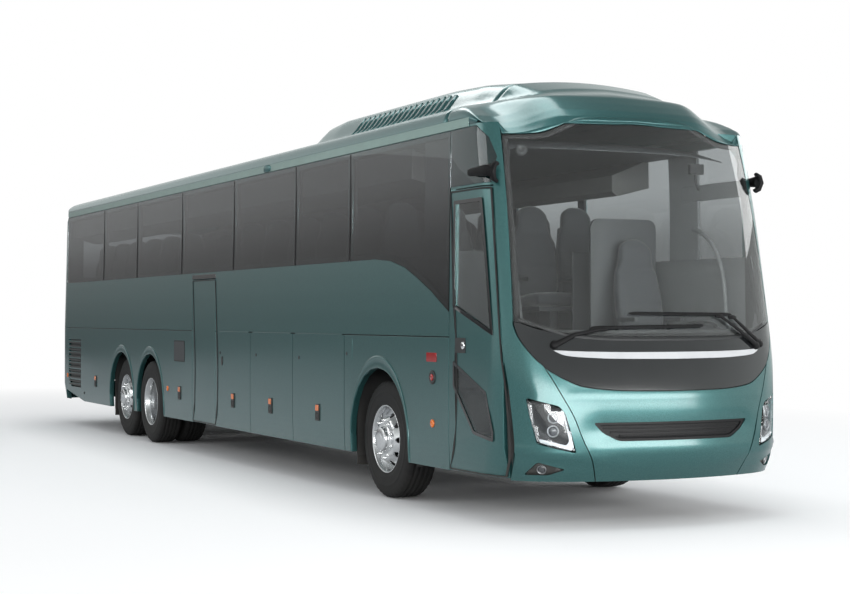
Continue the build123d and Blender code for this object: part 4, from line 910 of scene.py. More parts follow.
# %%
# Height law of the roof
def ramp(points, value):
    """Straight runs through a short table of distance and height."""
    if value <= points[0][0]:
        return points[0][1]
    for (a, h0), (b, h1) in zip(points, points[1:]):
        if value <= b:
            return h0 + (h1 - h0) * (value - a) / (b - a)
    return points[-1][1]


def soft_min(a, b, blend):
    h = max(0.0, 1 - abs(a - b) / blend)
    return min(a, b) - h * h * blend / 4


def soft_max(a, b, blend):
    return -soft_min(-a, -b, blend)


EAVE_Z, CAP_Y, TAIL_Y = 3.128, -6.000, 7.330
COVER_X, COVER_Z = 1.12, 3.12  # inner end and top of the pillar covers
LAP = 0.0015                   # half the seam between cap and roof
SIDE_RISE = [(0.0, 3.20), (0.010, 3.235), (0.030, 3.268), (0.060, 3.292), (0.110, 3.311), (0.20, 3.330),
             (0.45, 3.366), (0.80, 3.402), (1.26, 3.4235)]
BROW_RISE = [(0.0, 3.10), (0.05, 3.19), (0.10, 3.245), (0.18, 3.31), (0.27, 3.375), (0.45, 3.47), (0.75, 3.61),
             (1.20, 3.80), (1.60, 3.95)]
CORNER_RISE = [(0.0, 3.03), (0.05, 3.080), (0.12, 3.130), (0.22, 3.190), (0.42, 3.280), (0.60, 3.355),
               (0.75, 3.43), (1.60, 3.60)]
TAIL_RISE = [(0.0, 3.14), (0.04, 3.19), (0.12, 3.25), (0.28, 3.33), (0.50, 3.40), (0.80, 3.45)]
# pod: y, half width at its foot, half width of its top, height of its middle line
POD = [(-6.84, 0.34, 0.20, 3.15), (-6.60, 0.62, 0.42, 3.345), (-6.30, 0.82, 0.56, 3.485),
       (-6.00, 0.92, 0.62, 3.575),
       (-5.60, 0.97, 0.65, 3.618), (-5.00, 1.00, 0.67, 3.638), (-2.60, 1.00, 0.67, 3.638),
       (-2.15, 0.99, 0.66, 3.605),
       (-1.85, 0.95, 0.62, 3.500), (-1.68, 0.93, 0.58, 3.400)]
CROWN = 0.045


def roof_half(y):
    """Half width of the roof's edge, drawn in round the corners."""
    half, corner = 1.2555, 0.20
    if y > TAIL_Y - 0.18:
        t = min(1.0, (y - TAIL_Y + 0.18) / 0.18)
        return half - 0.18 * (1 - math.sqrt(max(0.0, 1 - t * t)))
    return half


def shell_z(x, y):
    side = ramp(SIDE_RISE, roof_half(y) - abs(x))
    tail = ramp(TAIL_RISE, TAIL_Y - y)
    return soft_max(soft_min(side, tail, 0.06), pod_z(x, y), 0.05)


def pod_z(x, y):
    if y > POD[-1][0] + 0.30:
        return 0.0
    foot, top, height = (ramp([(row[0], row[c]) for row in POD], y) for c in (1, 2, 3))
    height -= max(0.0, y - POD[-1][0]) * 1.6
    base = min(3.30, height - CROWN - 0.01)
    t = (abs(x) - top) / (foot - top)
    if t <= 0:
        return height - CROWN * (abs(x) / top) ** 2
    if t >= 1:
        return base - (t - 1) * 0.5
    return height - CROWN - (height - CROWN - base) * t * t * (3 - 2 * t)


def cap_z(x, y):
    ahead = y - on_form(round_x(min(abs(x), 1.10), COVER_Z), COVER_Z).y + 0.01
    share = max(0.0, min(1.0, (abs(x) - 0.60) / 0.45))
    share = share * share * (3 - 2 * share)
    brow = ramp(BROW_RISE, ahead) * (1 - share) + ramp(CORNER_RISE, ahead) * share
    body = soft_min(ramp(SIDE_RISE, roof_half(y) - abs(x)), brow, 0.05)
    return soft_max(body, soft_min(pod_z(x, y), brow, 0.05), 0.05)


# %%
# A skin over the height law: a grid whose rows follow an edge, then a wall down to the eave
def height_skin(name, y_of, x_of, z_of, rows, columns, material, wall=None):
    bm = bmesh.new()
    bmesh.ops.create_grid(bm, x_segments=columns, y_segments=rows, size=1.0)
    for vert in bm.verts:
        across, ahead = vert.co.x, (vert.co.y + 1) / 2
        across = math.sin(across * math.pi / 2) * 0.55 + across * 0.45
        x = x_of(across, ahead)
        y = y_of(x, ahead)
        vert.co = (x, y, z_of(x, y))
    if wall is not None:
        rim = [edge for edge in bm.edges if edge.is_boundary and wall(edge)]
        grown_rim = bmesh.ops.extrude_edge_only(bm, edges=rim)["geom"]
        for vert in grown_rim:
            if isinstance(vert, bmesh.types.BMVert):
                vert.co.z = EAVE_Z
    made = make_object(name, bm, material)
    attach(made, "coach")
    return made


long_roof = height_skin(
    "roof_skin", lambda x, t: CAP_Y + LAP + (TAIL_Y - CAP_Y - LAP - abs(x) ** 2 * 0.03) * (1 - (1 - t) ** 1.25),
    lambda a, t: a * roof_half(CAP_Y + (TAIL_Y - CAP_Y) * (1 - (1 - t) ** 1.25)), shell_z, 190, 84, roof_paint_shaded,
    wall=lambda edge: not all(v.co.y < CAP_Y + 0.02 for v in edge.verts))
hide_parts("roof", "roof_dome")


# %%
# The cap: its front row lies on the windscreen's upper edge, its sides on the pillar covers
def cap_side(t):
    """The cap's outer edge in plan, from the pillar cover's inner end round to the seam."""
    start = abs(round_x(COVER_X, COVER_Z))
    end = abs(round_y(CAP_Y - LAP, COVER_Z, 1))
    point = on_form(start + (end - start) * t, COVER_Z)
    return point.x, point.y


top_z = [(x, z + 0.006) for x, z in SCREEN_TOP]
bm = bmesh.new()
bmesh.ops.create_grid(bm, x_segments=72, y_segments=64, size=1.0)
for vert in bm.verts:
    across, back = vert.co.x, ((vert.co.y + 1) / 2) ** 1.35
    across = math.sin(across * math.pi / 2) * 0.5 + across * 0.5
    edge_x, edge_y = cap_side(back)
    x = across * edge_x
    front_here = on_form(round_x(min(abs(x), COVER_X), COVER_Z), COVER_Z).y
    y = edge_y + (front_here - on_form(round_x(COVER_X, COVER_Z), COVER_Z).y) * (1 - back) ** 1.5
    y = min(y, CAP_Y - LAP)
    z = cap_z(x, y)
    if back > 0.0:             # never below the pillar cover's top edge
        z = max(z, 3.127 - 1.2 * max(0.0, edge_x - abs(x)) - 0.06 * max(0.0, 1 - back / 0.02))
    if back == 0.0:
        low = ramp(top_z, abs(x))
        point = on_form(round_x(x, low), low)
        x, y, z = point.x, point.y, low
    vert.co = (x, y, z)
rim = [edge for edge in bm.edges if edge.is_boundary and all(abs(v.co.x) > 0.3 for v in edge.verts)
       and not all(v.co.y > CAP_Y - 0.02 for v in edge.verts)
       and all(abs(abs(v.co.x) - cap_side(0.0)[0]) < 0.2 for v in edge.verts)
       and all(v.co.z > 3.15 for v in edge.verts)]
for vert in bmesh.ops.extrude_edge_only(bm, edges=rim)["geom"]:
    if isinstance(vert, bmesh.types.BMVert):
        vert.co.z = EAVE_Z
cap = make_object("roof_cap", bm, roof_paint_shaded)
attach(cap, "coach")

# %%
# Louvres in the pod's flank, where the condenser breathes, and the fan covers on top
def on_roof(x, y, stand=0.0):
    """Place on the roof with its normal."""
    z = shell_z(x, y)
    dx = (shell_z(x + 0.01, y) - shell_z(x - 0.01, y)) / 0.02
    dy = (shell_z(x, y + 0.01) - shell_z(x, y - 0.01)) / 0.02
    normal = Vector((-dx, -dy, 1)).normalized()
    return Vector((x, y, z)) + normal * stand, normal


bm = bmesh.new()
for side in (-1, 1):
    for number in range(18):
        y = -5.20 + 0.118 * number
        corners = [[on_roof(side * x, y + dy, stand)[0] for stand in (-0.006, 0.012)] for x, dy in
                   [(0.76, 0.0), (0.81, 0.0), (0.86, 0.0), (0.91, 0.0), (0.91, 0.060), (0.86, 0.060),
                    (0.81, 0.060), (0.76, 0.060)]]
        low, high = [bm.verts.new(c[0]) for c in corners], [bm.verts.new(c[1]) for c in corners]
        for k in range(3):
            bm.faces.new((high[k], high[k + 1], high[6 - k], high[7 - k]))
        for k in range(8):
            bm.faces.new((low[k], low[(k + 1) % 8], high[(k + 1) % 8], high[k]))
louvres = make_object("pod_louvres", bm, roof_paint_shaded)
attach(louvres, "coach")
for number, y in enumerate((-4.75, -3.95, -3.15)):
    base = Matrix.Translation(Vector((0, y, 3.631)))
    ring_piece = turned(f"pod_fan_{number}", [(0.30, -0.02), (0.30, 0.004), (0.285, 0.012), (0.272, 0.004),
            (0.24, 0.002), (0.235, 0.008),
                                              (0.20, 0.008), (0.195, 0.002), (0.16, 0.002), (0.155, 0.008),
                                                      (0.12, 0.008), (0.115, 0.002),
                                              (0.07, 0.004), (0.0, 0.010)], base, slot_black)
for side, hand in ((-1, "right"), (1, "left")):
    fin_path = [on_form(round_y(y, 3.15, side), 3.15, -h) for y, h in ((-1.84, 0.004), (-1.80, 0.012),
            (-1.74, 0.020), (-1.70, 0.020))]
    fin = swept(f"rail_joint_{hand}", fin_path, [Vector((0, 0, 1))] * 4, [(0, 0.01), (0.4, 0.03), (1, 0.036)],
                [(0, 0.04), (0.4, 0.075), (1, 0.085)], roof_paint_shaded)
for part in (long_roof, cap):
    wall_part = part.modifiers.new("thickness", "SOLIDIFY")
    wall_part.thickness, wall_part.offset = 0.004, -1
print("roof faces:", len(long_roof.data.polygons), len(cap.data.polygons), "pod top:", round(shell_z(0, -4), 3))

# %% [markdown]
# ## Wheels
# A coach wheel is a forged aluminium disc in a rolled barrel, ten studs on a ring, and ten round hand
# holes that cool the brakes. Steered and tag wheels bulge outwards; the drive wheels' discs sit deep,
# so that two rims bolt back to back. The tyre is laid up as rings of points, which lets every third
# column of the shoulder sink into a tread gap; the disc is cut flat and then dished, as it is forged.

# %%
# Tyre: rings of distance from the middle and radius, round from bead to bead
TOP_R = 0.522                  # radius of the tread, and the height of each wheel's middle
FRONT_Y, DRIVE_Y, TAG_Y = -4.642, 2.598, 3.968
SIDEWALL = [(0.1335, 0.2870), (0.1400, 0.2960), (0.1425, 0.3090), (0.1405, 0.3125), (0.1440, 0.3190),
            (0.1468, 0.345),
            (0.1475, 0.375), (0.1468, 0.409), (0.1475, 0.412), (0.1475, 0.416), (0.1462, 0.419), (0.1440, 0.450),
            (0.1392, 0.478), (0.1310, 0.4970), (0.1240, 0.5080), (0.1150, 0.5145)]


def crown(u):
    return TOP_R - 0.0075 * (u / 0.115) ** 2


tread = []
for centre in (0.072, 0.025, -0.025, -0.072):
    tread += [(centre + 0.022, crown(centre + 0.022))] if centre == 0.072 else []
    tread += [(centre + 0.0065, crown(centre)), (centre + 0.0045, crown(centre) - 0.013),
              (centre - 0.0045, crown(centre) - 0.013), (centre - 0.0065, crown(centre))]
    tread += [(centre - 0.022, crown(centre - 0.022))]
TYRE_ROWS = SIDEWALL + tread + [(-u, r) for u, r in SIDEWALL[::-1]]


def tyre_mesh(columns=144):
    bm = bmesh.new()
    rings = []
    for u, r in TYRE_ROWS:
        ring_points = []
        for j in range(columns):
            turn = 2 * math.pi * j / columns
            gap = 0.007 if 0.112 < abs(u) < 0.133 and j % 3 == 0 else 0.0
            ring_points.append(bm.verts.new(((r - gap) * math.cos(turn), (r - gap) * math.sin(turn), u)))
        rings.append(ring_points)
    for a, b in zip(rings, rings[1:] + rings[:1]):
        for j in range(columns):
            bm.faces.new((a[j], a[(j + 1) % columns], b[(j + 1) % columns], b[j]))
    return bm


# %%
# Disc, dished by a table of radius and depth; studs with their nuts; barrel and hub as half outlines
def circle(radius, count, centre=(0, 0)):
    return [(centre[0] + radius * math.cos(2 * math.pi * i / count),
             centre[1] + radius * math.sin(2 * math.pi * i / count))
            for i in range(count)]


def disc_mesh(dish, outer, inner, holes):
    lines = [circle(outer, 96), circle(inner, 64)]
    for i in range(holes):
        turn = 2 * math.pi * (i + 0.5) / holes
        lines.append(circle(0.026, 24, (0.222 * math.cos(turn), 0.222 * math.sin(turn))))
    bm = blank(lines, 0.0, -0.013, 0.022)
    for vert in bm.verts:
        vert.co.z += ramp(dish, math.hypot(vert.co.x, vert.co.y))
    return bm


def nuts_mesh(seat, radius=0.1675, count=10):
    """Hexagonal nuts with the stud's end standing out of each."""
    outline = [(0.0, 0.034), (0.0095, 0.033), (0.0105, 0.030), (0.0105, 0.022), (0.013, 0.021), (0.0175, 0.017),
               (0.0175, 0.0)]
    bm = bmesh.new()
    for i in range(count):
        turn = 2 * math.pi * i / count
        points = [bm.verts.new((r, 0, h)) for r, h in outline]
        line = [bm.edges.new(pair) for pair in zip(points, points[1:])]
        made = bmesh.ops.spin(bm, geom=points + line, cent=(0, 0, 0), axis=(0, 0, 1), angle=2 * math.pi, steps=6)
        verts = {v for v in bm.verts if not v.tag}
        place = Matrix.Translation((radius * math.cos(turn), radius * math.sin(turn),
                seat)) @ Matrix.Rotation(turn, 4, "Z")
        bmesh.ops.transform(bm, verts=list(verts), matrix=place)
        for vert in bm.verts:
            vert.tag = True
    return bm


BULGED = {"dish": [(0.10, 0.150), (0.188, 0.150), (0.196, 0.144), (0.204, 0.130), (0.246, 0.078), (0.256, 0.066),
                   (0.267, 0.062)],
          "hub": [(0.0, 0.207), (0.040, 0.2065), (0.044, 0.203), (0.090, 0.202), (0.104, 0.196), (0.110, 0.184),
                  (0.112, 0.164),
                  (0.120, 0.158), (0.128, 0.154), (0.130, 0.148)], "seat": 0.150}
DEEP = {"dish": [(0.10, -0.124), (0.188, -0.124), (0.230, -0.118), (0.256, -0.104), (0.267, -0.098)],
        "hub": [(0.0, 0.006), (0.060, 0.006), (0.096, 0.002), (0.104, -0.006), (0.108, -0.090), (0.122, -0.110),
                (0.130, -0.126)],
        "seat": -0.124}
BARREL = [(0.262, -0.105), (0.2655, -0.020), (0.267, 0.060), (0.270, 0.098), (0.278, 0.112), (0.282, 0.124),
          (0.286, 0.134),
          (0.291, 0.1405), (0.297, 0.1425), (0.3005, 0.1405), (0.301, 0.1365), (0.296, 0.1335), (0.288, 0.1320)]


def wheel_place(x, y, side):
    """Local Z runs outwards along the axle from the tyre's middle."""
    return Matrix.Translation((side * x, y, TOP_R)) @ Matrix.Rotation(side * math.pi / 2, 4, "Y")


# %%
# Make each shape once, then set a copy at every wheel
def copies(source, name, spots, material, body):
    bm = bmesh.new()
    for place in spots:
        part = source.copy()
        bmesh.ops.transform(part, verts=part.verts[:], matrix=place)
        mesh = bpy.data.meshes.new("part")
        part.to_mesh(mesh)
        part.free()
        bm.from_mesh(mesh)
        bpy.data.meshes.remove(mesh)
    made = make_object(name, bm, material)
    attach(made, body)
    return made


tyre_shape = tyre_mesh()
SHAPES = {id(kind): (disc_mesh(kind["dish"], 0.2665, 0.115, 10), nuts_mesh(kind["seat"])) for kind in (BULGED,
        DEEP)}
for side, hand in ((1, "left"), (-1, "right")):
    for name, y, kind, xs, tyre_node, rim_node, body in [
            ("front", FRONT_Y, BULGED, (1.0575,), f"tyre_front_{hand}", f"rim_front_{hand}", f"wheel_front_{hand}"),
            ("drive", DRIVE_Y, DEEP, (1.1145, 0.7845), f"tyres_drive_{hand}", f"rims_drive_{hand}",
             f"wheels_drive_{hand}"),
            ("tag", TAG_Y, BULGED, (1.0575,), f"tyre_tag_{hand}", f"rim_tag_{hand}", f"wheel_tag_{hand}")]:
        spots = [wheel_place(x, y, side) for x in xs]
        tyres = copies(tyre_shape, f"tyre_{name}_{hand}", spots, tyre_rubber, body)
        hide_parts(tyre_node)
        disc, nuts = SHAPES[id(kind)]
        disc_piece = copies(disc, f"wheel_disc_{name}_{hand}", spots[:1], alloy, body)
        rolled_edge(disc_piece, 0.003)
        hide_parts(rim_node)
        nut_piece = copies(nuts, f"wheel_nuts_{name}_{hand}", spots[:1], chrome, body)
        barrel = turned(f"wheel_barrel_{name}_{hand}", BARREL, spots[0], alloy, body, 96)
        thick = barrel.modifiers.new("thickness", "SOLIDIFY")
        thick.thickness = 0.005
        hub = turned(f"wheel_hub_{name}_{hand}", kind["hub"], spots[0], alloy, body, 64)
        rolled_edge(hub, 0.002, 2, 30)
        if len(spots) > 1:
            inner = turned(f"wheel_barrel_inner_{hand}", [(0.20, -0.05), (0.262, -0.02)] + BARREL[2:], spots[1],
                           dark_alloy, body, 64)
for shape in [tyre_shape] + [bm for pair in SHAPES.values() for bm in pair]:
    shape.free()
print("tyre rows:", len(TYRE_ROWS), "faces a tyre:", len(TYRE_ROWS) * 144)

# %% [markdown]
# ## Arches and side trim
# Over each wheel the skirt is drawn out into a lip that rises from nothing at the feet to a crest on
# top, and rolls inwards at the opening so that the sheet has no raw edge. The lip is a swept band, so
# its height and its width can both follow the angle round the wheel.

# %%
# Wheel-arch lips
def arch_lip(name, y, radius, side, crest):
    """Rows from the rolled return inside the arch, over the lip, to where it dies into the panel."""
    bm = bmesh.new()
    rows = []
    angles = [math.radians(-14 + 208 * i / 72) for i in range(73)]
    for turn in angles:
        up = max(0.0, math.sin(turn))
        wide = 0.028 + crest * up ** 3
        proud = 0.005 + 0.006 * up
        section = [(0.000, -0.045), (0.000, -0.004), (0.0015, proud * 0.6), (0.006, proud * 0.9),
                   (0.012, proud * 0.8),
                   (wide * 0.45, proud * 0.50), (wide * 0.80, proud * 0.85), (wide * 0.90, proud * 0.95),
                   (wide * 0.97, proud * 0.45), (wide, -0.001)]
        row = []
        for out, stand in section:
            place_y = y + (radius + out) * math.cos(turn)
            z = 0.528 + (radius + out) * math.sin(turn)
            if turn < 0 or turn > math.pi:
                place_y = y + math.copysign(radius + out, math.cos(turn))
            row.append(bm.verts.new((side * (along(LEVELS, z, 2) + stand), place_y, max(z, 0.366))))
        rows.append(row)
    for a, b in zip(rows, rows[1:]):
        for p, q, r, s in zip(a, a[1:], b[1:], b):
            bm.faces.new((p, q, r, s))
    made = make_object(name, bm, paint)
    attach(made, "coach")
    return made


for side, hand in ((-1, "right"), (1, "left")):
    for name, y, radius, crest in (("front", FRONT_Y, 0.6215, 0.085), ("drive", DRIVE_Y, 0.6015, 0.070),
                                    ("tag", TAG_Y, 0.6015, 0.070)):
        arch_lip(f"arch_{name}_{hand}", y, radius, side, crest)


# %%
# Flat things on the flank are pressed too: a plate lies a little proud of the form
def plate(name, points, side, material, body="coach", stand=0.003, thick=0.004, cell=0.08, edge=0.0012, inner=None):
    lines = [side_line(points, side)] + ([side_line(inner, side)] if inner else [])
    return pressed(name, lines, -stand, thick - stand, material, body, cell, edge)


def box_line(y0, y1, z0, z1, radius=0.0):
    points = [(y0, z0), (y1, z0), (y1, z1), (y0, z1)]
    return rounded(points, radius, 3) if radius else points


# Combined lamp and reflector units low on the flank, placed from the front axle; each on a lid rides with it
UNITS = [(9.995, None), (5.94, None), (3.95, 3), (2.755, 2), (1.435, 1)]
for side, hand in ((-1, "right"), (1, "left")):
    for number, (y, lid) in enumerate(UNITS):
        y, body = y + FRONT_Y, (f"flap_{hand}_{lid}" if lid else "coach")
        black = plate(f"marker_base_{hand}_{number}", box_line(y - 0.048, y + 0.048, 0.605, 0.765, 0.010), side,
                      black_plastic, body, 0.010, 0.010, edge=0.002)
        amber = plate(f"marker_lens_{hand}_{number}", box_line(y - 0.038, y + 0.038, 0.700, 0.757, 0.008), side,
                      lamp_amber, body, 0.014, 0.006, edge=0.002)
        pull = plate(f"marker_pull_{hand}_{number}", box_line(y - 0.034, y + 0.034, 0.622, 0.684, 0.012), side,
                     seal, body, 0.0125, 0.004, edge=0.002, inner=box_line(y - 0.022, y + 0.022, 0.634, 0.672,
                             0.008))
    for number, (y, z) in enumerate([(6.44, 0.72), (11.70, 0.72), (-1.115, 0.725)]):
        spot = standing_on(round_y(y + FRONT_Y, z, side), z, 0.0)
        lens = turned(f"marker_round_{hand}_{number}", [(0.034, 0.0), (0.034, 0.006), (0.030, 0.010),
                (0.018, 0.0125), (0.0, 0.0135)],
                      spot, lamp_amber)
print("markers set:", len(UNITS) * 2 + 6)

# %% [markdown]
# ## Doors, windows and the small things between
# A plug door closes flush on a hollow rubber section, so from outside the leaf is framed by a black
# line. Its panes are bonded behind a printed black border. The same goes for the side windows: one
# dark band with thin seams. Every frame here is a blank with a hole in it, pressed over the form.

# %%
# Front door: seal round the leaf, printed borders of its two panes
DOOR = [(-6.926, 0.376), (-6.066, 0.376), (-6.066, 2.614), (-6.719, 2.614), (-6.926, 1.300)]
PANE_TOP = [(-6.147, 2.52), (-6.61, 2.52), (-6.80, 1.48), (-6.147, 1.69)]
PANE_LOW = [(-6.15, 1.23), (-6.15, 1.05), (-6.50, 0.70), (-6.80, 0.66), (-6.80, 0.72), (-6.70, 1.01)]


def framed(name, points, out, into, side, material, body, stand=0.004, thick=0.006, cell=0.07):
    return plate(name, rounded(grown(points, out), 0.02, 3), side, material, body, stand, thick, cell,
                 inner=rounded(grown(points, -into), 0.016, 3))


door_pieces = [
    framed("door_front_seal", DOOR, -0.001, 0.013, -1, seal, "door_front", 0.003, 0.010),
    framed("door_front_border_top", PANE_TOP, 0.016, 0.016, -1, black_gloss, "door_front", 0.003, 0.004),
    framed("door_front_border_low", PANE_LOW, 0.016, 0.010, -1, black_gloss, "door_front", 0.003, 0.004),
    framed("door_mid_seal", [(-0.058, 0.376), (0.794, 0.376), (0.794, 2.030), (-0.058, 2.030)], -0.001, 0.012, -1,
           seal,
           "door_mid", 0.003, 0.010),
    plate("door_mid_header", box_line(-0.066, 0.802, 2.044, 2.092), -1, black_gloss, "coach", 0.004, 0.006)]
panel = plate("door_button_panel", box_line(-6.362, -6.182, 1.315, 1.435, 0.012), -1, black_plastic, "door_front",
              0.006, 0.008)
key = turned("door_button", [(0.030, 0.0), (0.030, 0.004), (0.027, 0.007), (0.016, 0.008), (0.0, 0.0082)],
             standing_on(round_y(-6.325, 1.375, -1), 1.375, -0.006), chrome, "door_front")

# %%
# Side windows: thin seams, and above them a pale band whose light colour is a painted highlight of the roof's
# shoulder
SEAMS_Y = [-3.962, -2.562, -0.662, 1.258, 3.238, 4.958]
for side, hand in ((-1, "right"), (1, "left")):
    for number, y in enumerate(SEAMS_Y):
        line = plate(f"window_seam_{hand}_{number}", box_line(y - 0.011, y + 0.011, 2.118, 3.100), side, seal,
                     "coach", 0.0015, 0.010, 0.3)
    # the band's pale colour is a painted highlight along the shoulder over the windows
    rail = plate(f"roof_highlight_band_{hand}", box_line(-6.38, 7.10, 3.112, 3.186), side, painted_highlight_band, "coach", 0.0065,
                 0.006, 0.4, 0.002)

# %%
# Locks, flaps and grille on the flank, and a blank red plate above the door's lock
for side, hand in ((-1, "right"), (1, "left")):
    flap_line = box_line(1.108, 1.518, 1.075, 1.305, 0.015)
    fill = plate(f"filler_flap_{hand}", flap_line, side, dark_trim, "coach", 0.004, 0.006)
    border = plate(f"filler_border_{hand}", rounded(grown(box_line(1.108, 1.518, 1.075, 1.305), 0.012), 0.02, 3),
                   side, seal,
                   "coach", 0.0025, 0.004, inner=flap_line)
    mesh_back = plate(f"air_grille_bed_{hand}", box_line(6.245, 6.985, 0.565, 1.265), side, black_plastic, "coach",
                      -0.030, 0.004)
    for number in range(13):
        z = 0.585 + number * 0.052
        slat = plate(f"air_grille_slat_{hand}_{number}", box_line(6.250, 6.980, z, z + 0.022), side, black_plastic,
                     "coach", 0.002, 0.012,
                     0.3, 0.003)
    for number, (y, z, lid) in enumerate([(-3.927, 1.265, None), (-2.70, 1.20, 1), (-1.44, 1.20, 2),
            (-0.24, 1.20, 3), (6.04, 0.49, None)]):
        if side > 0 and lid is None and number == 0:
            continue
        body = f"flap_{hand}_{lid}" if lid else "coach"
        lock = turned(f"lock_{hand}_{number}", [(0.017, 0.0), (0.017, 0.003), (0.014, 0.005), (0.006, 0.005),
                (0.005, 0.002), (0.0, 0.002)],
                      standing_on(round_y(y, z, side), z, 0.0), steel, body, 24)
outline = plate("charge_flap", box_line(-4.055, -3.895, 1.205, 1.400, 0.012), -1, paint, "coach", 0.002, 0.004)
red = plate("door_valve_red", box_line(-5.832, -5.642, 1.232, 1.308, 0.008), -1, lamp_red, "coach", 0.004, 0.006)
ring_at = standing_on(round_y(-5.757, 1.105, -1), 1.105, 0.0)
lock_body = turned("door_lock_body", [(0.058, 0.0), (0.058, 0.006), (0.052, 0.010), (0.034, 0.010), (0.030, 0.006),
        (0.0, 0.006)],
                   ring_at, black_plastic)
lock_heart = turned("door_lock_heart", [(0.027, 0.006), (0.027, 0.011), (0.022, 0.014), (0.0, 0.0145)], ring_at,
                    lamp_red)
oval = plate("mid_lock", box_line(-0.335, -0.290, 1.062, 1.160, 0.02), -1, black_plastic, "coach", 0.006, 0.008,
             edge=0.002)
print("door and flank trim:", len(door_pieces) + 6)

# %% [markdown]
# ## Wipers and camera arms
# A flat wiper blade is a sprung spine in a rubber profile, held by a clip near its middle; the arm is
# a folded channel that tapers from the pivot to the clip. The left blade hangs on two arms, which
# keep it level. Arms and blades are swept sections whose flat side follows the glass.

# %%
# Path over the glass
def on_glass(points, steps=8):
    """Path over the windscreen from x, z and the height of its middle over the glass."""
    path, normals = [], []
    for (x0, z0, h0), (x1, z1, h1) in zip(points, points[1:]):
        for i in range(steps + (1 if (x1, z1, h1) == points[-1] else 0)):
            t = i / steps
            x, z, h = x0 + (x1 - x0) * t, z0 + (z1 - z0) * t, h0 + (h1 - h0) * t
            place = standing_on(round_x(x, z), z, -h)
            path.append(place.translation)
            normals.append(place.to_3x3() @ Vector((0, 0, 1)))
    return path, normals


# %%
# Two wipers
CAP = [(0.034, -0.010), (0.034, 0.012), (0.030, 0.020), (0.018, 0.025), (0.0, 0.026)]
WIPERS = [("right", [(-0.935, 1.39, 0.022), (-0.78, 1.470, 0.026), (-0.575, 1.512, 0.024)], None, (-0.66, 1.520),
           (0.32, 1.534)),
          ("left", [(0.952, 1.39, 0.022), (0.80, 1.49, 0.026), (0.643, 1.604, 0.024)],
           [(0.900, 1.375, 0.022), (0.72, 1.485, 0.026), (0.501, 1.613, 0.024)], (-0.344, 1.629), (0.643, 1.622))]
for hand, arm, second, start, end in WIPERS:
    pieces = []
    for number, line in enumerate([arm, second]):
        if line is None:
            continue
        path, normals = on_glass(line)
        pieces.append(swept(f"wiper_arm_{hand}_{number}", path, normals, [(0, 0.046), (0.25, 0.038), (1, 0.024)],
                            [(0, 0.022), (0.3, 0.016), (1, 0.012)], wiper_black))
        x, z, height = line[0]
        pieces.append(turned(f"wiper_pivot_{hand}_{number}", CAP, standing_on(round_x(x, z), z, -0.008),
                             wiper_black))
        x, z, height = line[-1]
        clip, normals = on_glass([(x - 0.045, z - 0.004, 0.020), (x + 0.045, z - 0.004, 0.020)], 4)
        pieces.append(swept(f"wiper_clip_{hand}_{number}", clip, normals, [(0, 0.020), (0.5, 0.034), (1, 0.020)],
                            [(0, 0.012), (0.5, 0.020), (1, 0.012)], wiper_black))
    for part, wide, tall, height in (("spine", 0.028, 0.011, 0.0155), ("rubber", 0.006, 0.012, 0.0070)):
        path, normals = on_glass([(*start, height), (*end, height)], 28)
        pieces.append(swept(f"wiper_{part}_{hand}", path, normals, [(0, wide * 0.4), (0.04, wide), (0.96, wide),
                (1, wide * 0.4)],
                            [(0, tall * 0.5), (0.05, tall), (0.95, tall), (1, tall * 0.5)],
                            seal if part == "rubber" else wiper_black))
    if hand == "right":
        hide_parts("wipers")

# %%
# Camera arms in place of mirrors: a foot on the pillar and a pod that looks backwards
for side, hand in ((-1, "right"), (1, "left")):
    foot = [Vector((side * x, y, z)) for x, y, z in [(1.215, -6.795, 2.790), (1.245, -6.79, 2.775),
            (1.262, -6.785, 2.720), (1.245, -6.78, 2.665), (1.215, -6.775, 2.650)]]
    pieces = [swept(f"camera_foot_{hand}", foot, [Vector((side, 0, 0.1))] * 5, [(0, 0.05), (0.5, 0.075), (1, 0.05)],
                    [(0, 0.03), (0.5, 0.045), (1, 0.03)], wiper_black)]
    neck = [Vector((side * x, y, 2.722)) for x, y in [(1.235, -6.79), (1.262, -6.775), (1.285, -6.745)]]
    pieces.append(swept(f"camera_neck_{hand}", neck, [Vector((0, 0, 1))] * 3, [(0, 0.06), (1, 0.05)],
                        [(0, 0.085), (1, 0.070)], wiper_black))
    pod_line = [Vector((side * x, y, z)) for x, y, z in [(1.270, -6.800, 2.735), (1.273, -6.770, 2.735),
            (1.282, -6.70, 2.735),
                                                        (1.292, -6.60, 2.735), (1.300, -6.50, 2.735),
                                                                (1.302, -6.475, 2.735)]]
    pieces.append(swept(f"camera_pod_{hand}", pod_line, [Vector((0, 0, 1))] * 6,
                        [(0, 0.022), (0.1, 0.046), (0.35, 0.056), (0.85, 0.046), (1, 0.036)],
                        [(0, 0.036), (0.1, 0.084), (0.35, 0.096), (0.60, 0.072), (0.85, 0.060), (1, 0.050)],
                        wiper_black, points=20))
    eye_at = Matrix.Translation((side * 1.302, -6.476, 2.735)) @ Matrix.Rotation(-math.pi / 2, 4, "X")
    pieces.append(turned(f"camera_eye_{hand}", [(0.016, 0.0), (0.016, 0.004), (0.013, 0.006), (0.010, 0.003),
            (0.0, 0.005)], eye_at, lens_dark, "coach", 24))
    if side < 0:
        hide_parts("camera_arms")
print("wipers and camera arms set")

# %% [markdown]
# ## Seats
# A coach seat is cut foam in a sewn cover: a cushion crowned towards the front, a backrest with side
# bolsters, and a head part that narrows and rounds over. Each is lofted here from rings whose width,
# depth and lean follow a table, the foam's crown and the sewn channels are pushed into the rings, and
# one level of subdivision draws the cover tight. One seat is made, and placed at every row.

